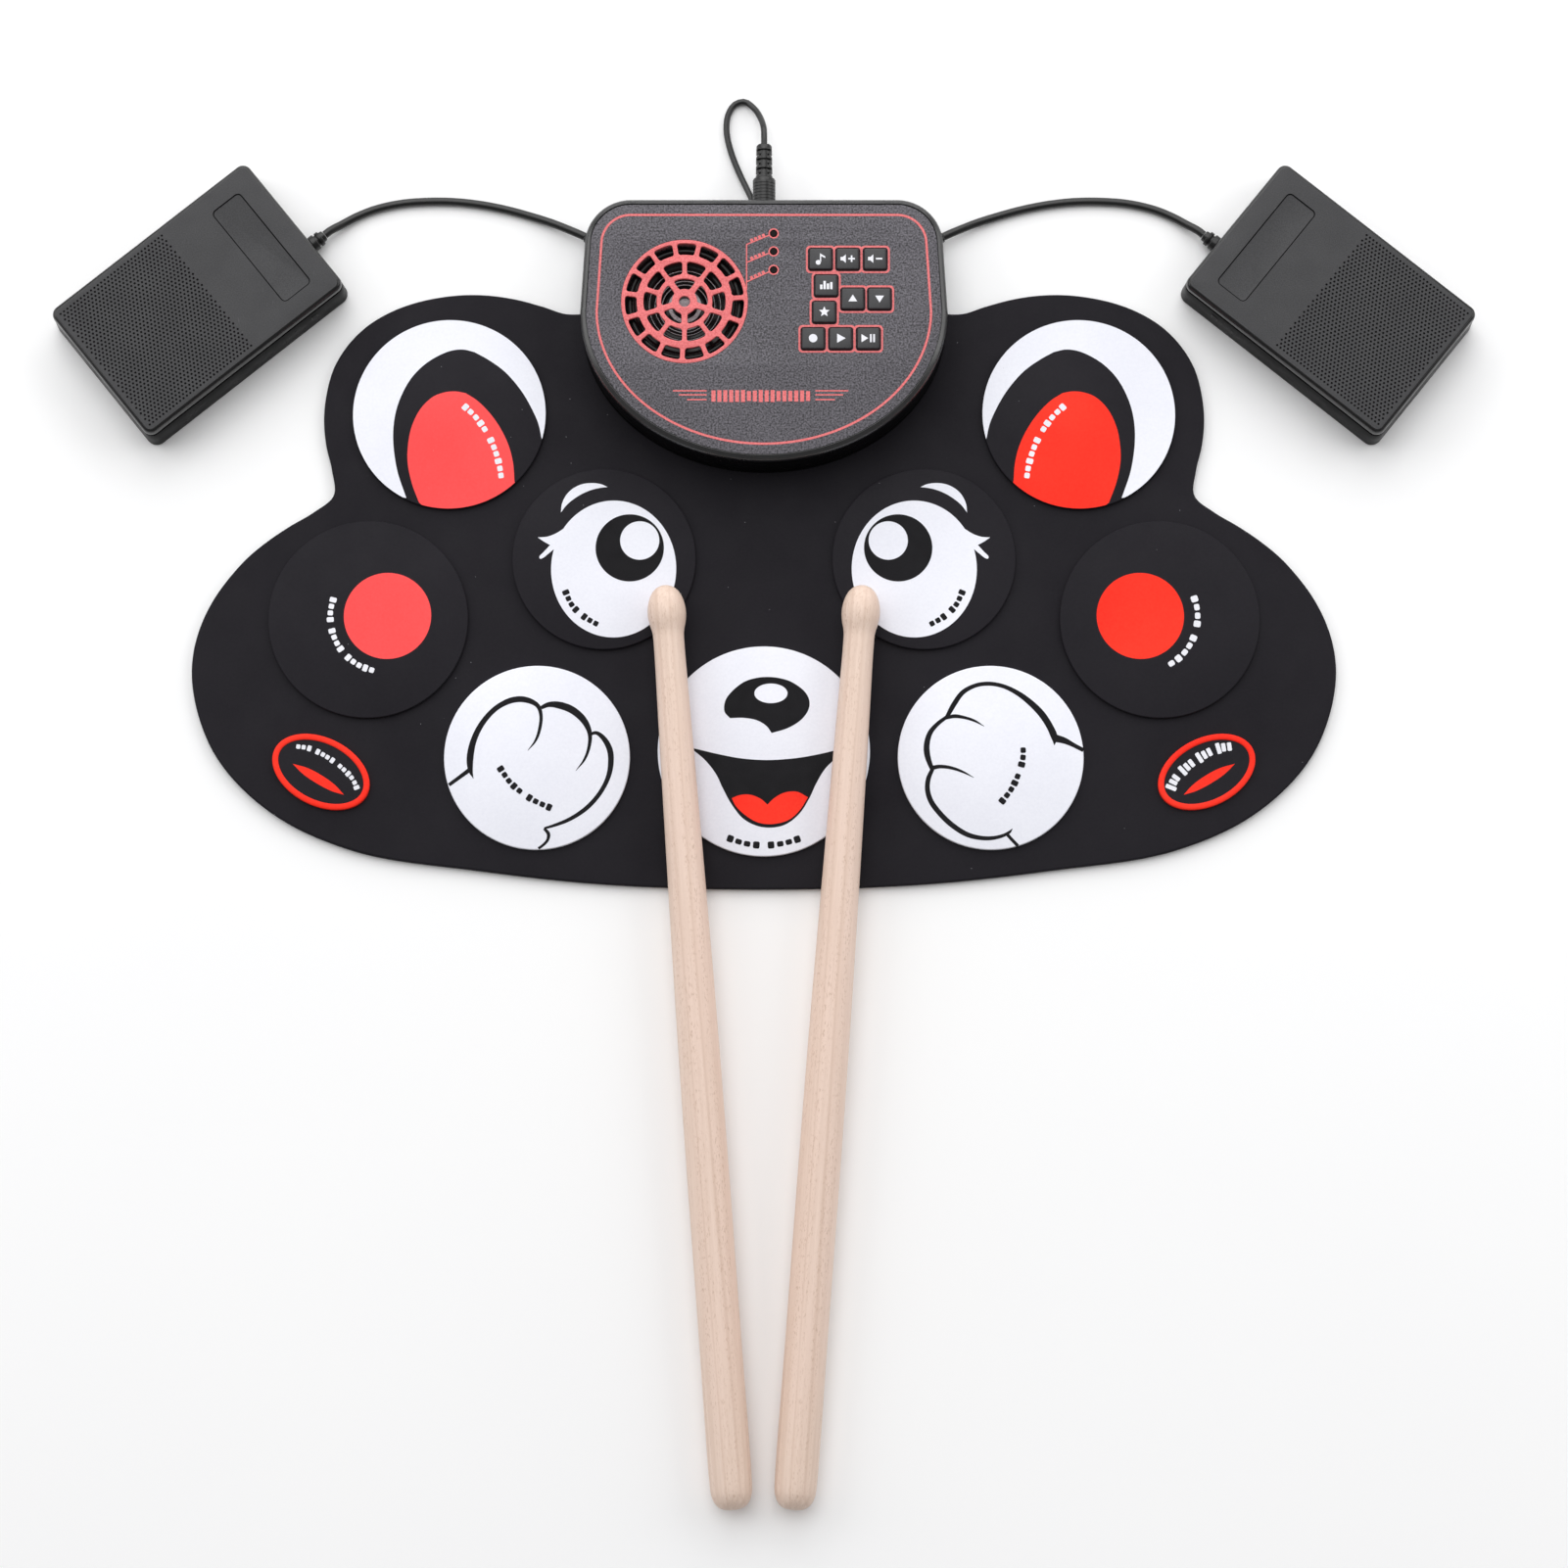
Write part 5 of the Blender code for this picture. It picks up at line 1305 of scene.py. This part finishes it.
def make_glands():
    """The rubber glands where the cords enter the console; each ends in a lip of its own radius."""
    for word, node, point, direction, lip in (
        ("lead", "lead_gland", (-5.2, 159, CABLE_Z), BACKWARDS, 1.55),
        ("left", "left_cable_gland", (-72.04, 148.03, CABLE_Z), (-0.906, 0.423, 0), 1.95),
        ("right", "right_cable_gland", (72.04, 148.03, CABLE_Z), (0.906, 0.423, 0), 1.95),
    ):
        fitting(word + "_grommet", node, point, direction, [
            (1.9, -4.0), (1.9, 0.2), (2.75, 0.2), (2.8, 0.6), (2.75, 1.1), (2.5, 1.3), (2.5, 1.6),
            (2.35, 2.1), (lip + 0.2, 2.7), (lip, 2.8),
        ])


def make_console():
    make_case()
    make_faceplate()
    make_grille()
    make_panel_print()
    make_key_frames()
    make_keys()
    make_speaker()
    make_knob()
    make_plug()
    make_glands()


# ---------------------------------------------------------------- pedals

# Middle of the right pedal, and the left one's turn in degrees; the two mirror each other
PEDAL_PLACE = (234.2, 119.0)
PEDAL_TURN = 39
PEDAL_SIZE = (104.0, 69.0)
PEDAL_CORNER = 4.6
PEDAL_TOP = 20.0
SPRING_X = -41.5
SPRING_RADIUS = 4.2
SPRING_WIRE = 1.0
SPRING_TURNS = 4
# Points in each turn
SPRING_STEPS = 24
SPRING_HEIGHTS = (2.8, 17.2)
# Dimples along and across the pedal, and the left, right, low and high ends of their area
DIMPLE_PITCH = (1.76, 1.5)
DIMPLE_AREA = (-48.6, 7.0, -30.9, 30.9)
# Radius and height of a dimple's rings, from the top down
DIMPLE_LEVELS = [(0.5, PEDAL_TOP), (0.42, PEDAL_TOP - 0.16), (0.25, PEDAL_TOP - 0.3)]
# Middle, length and width, and corner of the label's recess, and its sides as (inwards, height)
LABEL_X = 34.0
LABEL_SIZE = (14.7, 49.3)
LABEL_CORNER = 2.2
LABEL_LEVELS = [(0.0, PEDAL_TOP), (0.25, PEDAL_TOP - 0.34), (0.5, PEDAL_TOP - 0.4)]
# Half length and half width of the lid's flat top
LID_FLAT = (49.4, 31.9)


def pedal_matrix(side):
    turn = math.radians(PEDAL_TURN if side < 0 else 180 - PEDAL_TURN)
    place = Vector((side * PEDAL_PLACE[0], PEDAL_PLACE[1], 0)) * MM
    return Matrix.Translation(place) @ Matrix.Rotation(turn, 4, "Z")


def band(edit, outer, inner):
    """Joins two rings of equally many vertices by quads."""
    for index in range(len(outer)):
        after = (index + 1) % len(outer)
        edit.faces.new((outer[index], outer[after], inner[after], inner[index]))


def add_dimples(edit):
    """Staggered rows of dimples in the lid's top, as cells that share their corners."""
    pitch_x, pitch_y = DIMPLE_PITCH
    left, right, low, high = DIMPLE_AREA
    shared = {}

    def vertex(x, y, z=PEDAL_TOP):
        key = (round(x, 3), round(y, 3), round(z, 3))
        if key not in shared:
            shared[key] = edit.verts.new(Vector(key) * MM)
        return shared[key]

    rows = int((high - low) / pitch_y)
    columns = int((right - left) / pitch_x)
    for row in range(rows):
        y = low + pitch_y * (row + 0.5)
        for column in range(columns - row % 2):
            x = left + pitch_x * (column + 0.5 + 0.5 * (row % 2))
            half_x, half_y = pitch_x / 2, pitch_y / 2
            border = [vertex(x + half_x * across, y + half_y * up) for across, up in (
                (1, 0), (1, 1), (0, 1), (-1, 1), (-1, 0), (-1, -1), (0, -1), (1, -1))]
            previous = border
            for radius, z in DIMPLE_LEVELS:
                ring = [vertex(x + radius * math.cos(math.radians(45 * index)),
                               y + radius * math.sin(math.radians(45 * index)), z) for index in range(8)]
                band(edit, previous, ring)
                previous = ring
            edit.faces.new(previous)


def add_label_recess(edit):
    """The shallow recess for a label, as rings of vertices and a floor."""
    rings = []
    for into, z in LABEL_LEVELS:
        length, width = ((size - 2 * into) * MM for size in LABEL_SIZE)
        outline = rounded_rectangle(LABEL_X * MM, 0, length, width, (LABEL_CORNER - into) * MM, 6)
        rings.append([edit.verts.new((point.x, point.y, z * MM)) for point in outline])
    for upper, lower in zip(rings, rings[1:]):
        band(edit, upper, lower)
    edit.faces.new(rings[-1])


def lid_material(face):
    """Index of a lid face's material: the top; the rounded rim, glossy and coloured darker as painted shade;
    or painted shade in a dimple or on the label's step.
    """
    heights = [corner.co.z / MM for corner in face.verts]
    reach_x = max(abs(corner.co.x) for corner in face.verts) / MM
    reach_y = max(abs(corner.co.y) for corner in face.verts) / MM
    if min(heights) > PEDAL_TOP - 0.01:
        return 0
    # The rim's darker case black is painted shade along the edge
    if reach_x > LID_FLAT[0] or reach_y > LID_FLAT[1]:
        return 1
    # Dimples and the label's step get near-black: painted shade
    sloping = max(heights) > min(heights) + 0.03
    return 2 if sloping or len(face.verts) == 8 else 0


def make_lid(word, matrix):
    """The treadle: a rounded lid with dimples in its front part and a recess for a label."""
    # The rim's darker case black and the recesses' near-black are painted shade
    lid = boxy(word + "_lid", *PEDAL_SIZE, PEDAL_CORNER, [
        (2.4, 18.0), (2.4, 16.0), (0.95, 16.0), (0.75, 16.15), (0.7, 16.5), (0.8, 17.9), (0.95, 18.6),
        (1.15, 19.2), (1.5, 19.65), (2.0, 19.92), (2.4, PEDAL_TOP),
    ], PEDAL_BLACK, CASE_BLACK, RECESS_SHADE)
    edit = bmesh.new()
    edit.from_mesh(lid.data)
    top = PEDAL_TOP * MM
    tops = [face for face in edit.faces if all(abs(corner.co.z - top) < 1e-6 for corner in face.verts)]
    bmesh.ops.delete(edit, geom=tops, context="FACES_ONLY")
    add_dimples(edit)
    add_label_recess(edit)
    loose = [edge for edge in edit.edges if len(edge.link_faces) == 1]
    bmesh.ops.triangle_fill(edit, edges=loose, use_beauty=True, normal=UP)
    bmesh.ops.recalc_face_normals(edit, faces=edit.faces)
    for face in edit.faces:
        face.material_index = lid_material(face)
    edit.to_mesh(lid.data)
    edit.free()
    shade(lid.data, 24)
    lid.data.transform(matrix)
    stand_in(lid, word + "_treadle")


def make_spring(word, matrix):
    """The return spring, a steel coil from the tray up to the treadle, in place of the CAD spring."""
    radius, low, high = SPRING_RADIUS, *SPRING_HEIGHTS
    coil = []
    for step in range(SPRING_STEPS * SPRING_TURNS + 1):
        turn = math.tau * step / SPRING_STEPS
        z = low + (high - low) * step / (SPRING_STEPS * SPRING_TURNS)
        coil.append(Vector((SPRING_X + radius * math.cos(turn), radius * math.sin(turn), z)) * MM)
    obj = rod(word + "_coil_spring", coil, SPRING_WIRE / 2 * MM, STEEL, bevel_steps=3)
    obj.matrix_world = matrix
    spring = applied(obj)
    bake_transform(spring)
    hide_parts(word + "_return_spring")


# Profile of the boot where the cable leaves a pedal
BOOT = [
    (1.9, -5.6), (1.9, 0.1), (3.2, 0.1), (3.4, 0.4), (3.4, 2.3), (3.2, 2.6), (2.5, 2.7), (2.5, 3.3),
    (3.0, 3.4), (3.15, 3.7), (3.15, 4.8), (2.95, 5.1), (2.4, 5.2), (2.3, 6.5), (2.0, 6.8),
]


def make_wall_marks(word, side, matrix):
    """A small raised half ring and a dot on the pedal's outer wall."""
    rim = arc(0, 0, 1.9, -90, 90, 18) + [Vector((-1.3, 1.9)), Vector((-1.3, -1.9))]
    rim = [point * MM for point in rim]
    dot = ellipse(side * 9.6 * MM, 0, 0.4 * MM, 0.4 * MM, 20)
    marks = joined(word + "_wall_marks", [
        plate(word + "_thumb_mark", [rim, inset(rim, 0.45 * MM)], -0.3 * MM, 0.12 * MM, PEDAL_BLACK),
        plate(word + "_dot_mark", [dot], -0.3 * MM, 0.1 * MM, PEDAL_BLACK),
    ])
    wall = Matrix.Translation(Vector((33.5, side * 34.05, 8.5)) * MM)
    upright = Matrix.Rotation(math.radians(90 if side < 0 else -90), 4, "X")
    marks.data.transform(matrix @ wall @ upright @ Matrix.Rotation(0 if side < 0 else math.pi, 4, "Z"))
    detail(marks, word + "_pedal_base", "pedal_abs")


def make_pedal(word, side):
    """A pedal's tray, treadle, spring and boot; side is -1 for the left one and 1 for the right one."""
    matrix = pedal_matrix(side)
    # The tray takes the darker wall black: painted shade on its walls
    tray = boxy(word + "_tray", *PEDAL_SIZE, PEDAL_CORNER, [
        (0.9, 0.0), (0.3, 0.15), (0.0, 0.7), (0.72, 13.6), (0.8, 14.0), (1.0, 14.2), (2.6, 14.2),
        (2.6, 2.0),
    ], SHADED_WALL_BLACK)
    tray.data.transform(matrix)
    stand_in(tray, word + "_pedal_base")
    make_wall_marks(word, side, matrix)
    make_lid(word, matrix)
    make_spring(word, matrix)
    point = matrix @ (Vector((52, side * 7.8, CABLE_Z)) * MM)
    direction = matrix.to_3x3() @ Vector((1, 0, 0))
    fitting(word + "_boot", word + "_strain_relief", point / MM, direction, BOOT)


# ---------------------------------------------------------------- sticks

STICK_TIP = (-40.6, -0.5, 14.1)
STICK_BUTT = (-12.2, -374.0, 8.8)
# Distance from the tip and radius. The ends keep their own points, and the rest is smoothed.
STICK_PROFILE = [
    (0.0, 0.3), (0.15, 1.6), (0.9, 3.4), (3.0, 5.6), (7.0, 7.3), (11.5, 7.9), (15.5, 7.45), (19.6, 6.45),
    (25.0, 6.3), (60.0, 6.8), (110.0, 7.5), (170.0, 8.2), (230.0, 8.5), (300.0, 8.5), (364.0, 8.5),
    (368.5, 8.2), (371.6, 7.2), (373.6, 5.6), (374.7, 3.5), (375.0, 1.2),
]


def make_stick(word, side):
    """A turned stick with its grain along its own Z axis."""
    mirror = Vector((-side, 1, 1))
    tip, butt = Vector(STICK_TIP) * mirror, Vector(STICK_BUTT) * mirror
    profile = [Vector(pair) for pair in STICK_PROFILE]
    ends = [point for point in profile if point.x < 3 or point.x > 368]
    levels = sorted([(-point.x, point.y) for point in smooth_curve(profile, 2.0)[2:-2] + ends])
    stick = turned(word + "_maple_stick", [(radius, z) for z, radius in levels], MAPLE, steps=72, angle=60)
    aim(stick, tip * MM, tip - butt)
    stand_in(stick, word + "_drumstick")


# ---------------------------------------------------------------- light, floor and camera

# Strength of the white world as it lights the scene, and as the camera sees it
WORLD_GLOW = 0.26
BACKGROUND = 0.66
SUN_ENERGY = 1.15
SUN_ANGLE = 50
LIT_PLACE = Vector((0, 0.12, 0))
FLOOR_HALF = 6
CAMERA_TARGET = Vector((8.27, -81.2, 3)) * MM
CAMERA_ELEVATION = 82
CAMERA_DISTANCE = 1.7
CAMERA_LENS = 95.2


def finish_cad_nodes():
    """Gives the CAD pieces that stay their own materials."""
    kept = {
        "sensor_film": FILM_GOLD, "speaker_frame": STEEL, "speaker_magnet": STEEL,
        "main_board": BOARD_GREEN, "keypad_sheet": KEY_BLACK, "battery_cell": CELL_FOIL,
        "light_pipe": LENS_DARK, "dc_socket": CASE_BLACK, "power_switch": CASE_BLACK,
        "left_foot_switch": CASE_BLACK, "right_foot_switch": CASE_BLACK,
        **{f"case_screw_{number}": STEEL for number in (1, 2, 3, 4)},
    }
    for node, material in kept.items():
        mesh = frame["nodes"][node].data
        mesh.materials.clear()
        mesh.materials.append(material)


def make_floor():
    paint = Paint("studio_floor", specular_ior_level=0.2)
    colour = paint.mixed(paint.noise(300, 3), (247, 247, 248), (252, 252, 252))
    material = paint.done(colour, 0.85)
    mesh = bpy.data.meshes.new("studio_floor")
    corners = [(x * FLOOR_HALF, y * FLOOR_HALF, 0) for x, y in ((-1, -1), (1, -1), (1, 1), (-1, 1))]
    mesh.from_pydata(corners, [], [(0, 1, 2, 3)])
    new_object("studio_floor", mesh, material)


def soft_light(name, place, size, power):
    """A rectangular light that points at the object's middle."""
    light = bpy.data.lights.new(name, "AREA")
    light.shape = "RECTANGLE"
    light.size, light.size_y = size
    light.energy = power
    obj = new_object(name, light)
    obj.location = place
    obj.rotation_euler = (LIT_PLACE - Vector(place)).to_track_quat("-Z", "Y").to_euler()


def make_world():
    """An even pale background, and a dimmer glow from it on the scene."""
    world = bpy.data.worlds.new("studio")
    bpy.context.scene.world = world
    world.use_nodes = True
    nodes = world.node_tree.nodes
    links = world.node_tree.links
    strength = nodes.new("ShaderNodeMix")
    strength.inputs[2].default_value = WORLD_GLOW
    strength.inputs[3].default_value = BACKGROUND
    seen = nodes.new("ShaderNodeLightPath").outputs["Is Camera Ray"]
    links.new(seen, strength.inputs[0])
    nodes["Background"].inputs["Color"].default_value = (1, 1, 1, 1)
    links.new(strength.outputs[0], nodes["Background"].inputs["Strength"])


def make_light():
    sun = bpy.data.lights.new("overhead_light", "SUN")
    sun.energy = SUN_ENERGY
    sun.angle = math.radians(SUN_ANGLE)
    obj = new_object("overhead_light", sun)
    obj.rotation_euler = Vector((-0.25, 0.75, 2.3)).to_track_quat("Z", "Y").to_euler()
    soft_light("back_light", (0.0, 1.35, 0.75), (2.2, 1.2), 17)
    soft_light("left_light", (-1.4, 0.45, 0.8), (1.3, 1.2), 8.5)
    soft_light("right_light", (1.4, 0.45, 0.8), (1.3, 1.2), 8.5)
    bpy.context.scene.view_settings.view_transform = "Standard"


def make_camera():
    """From the player's side, nearly straight down."""
    data = bpy.data.cameras.new("camera")
    data.lens = CAMERA_LENS
    data.sensor_width = 36
    obj = new_object("camera", data)
    turn = math.radians(CAMERA_ELEVATION)
    away = Vector((0, -math.cos(turn), math.sin(turn)))
    obj.location = CAMERA_TARGET + away * CAMERA_DISTANCE
    obj.rotation_euler = away.to_track_quat("Z", "Y").to_euler()
    bpy.context.scene.camera = obj


make_camera()
make_world()
make_light()
make_floor()
make_cords()
make_mat()
make_pads()
make_console()
for WORD, SIDE in (("left", -1), ("right", 1)):
    make_pedal(WORD, SIDE)
    make_stick(WORD, SIDE)
finish_cad_nodes()
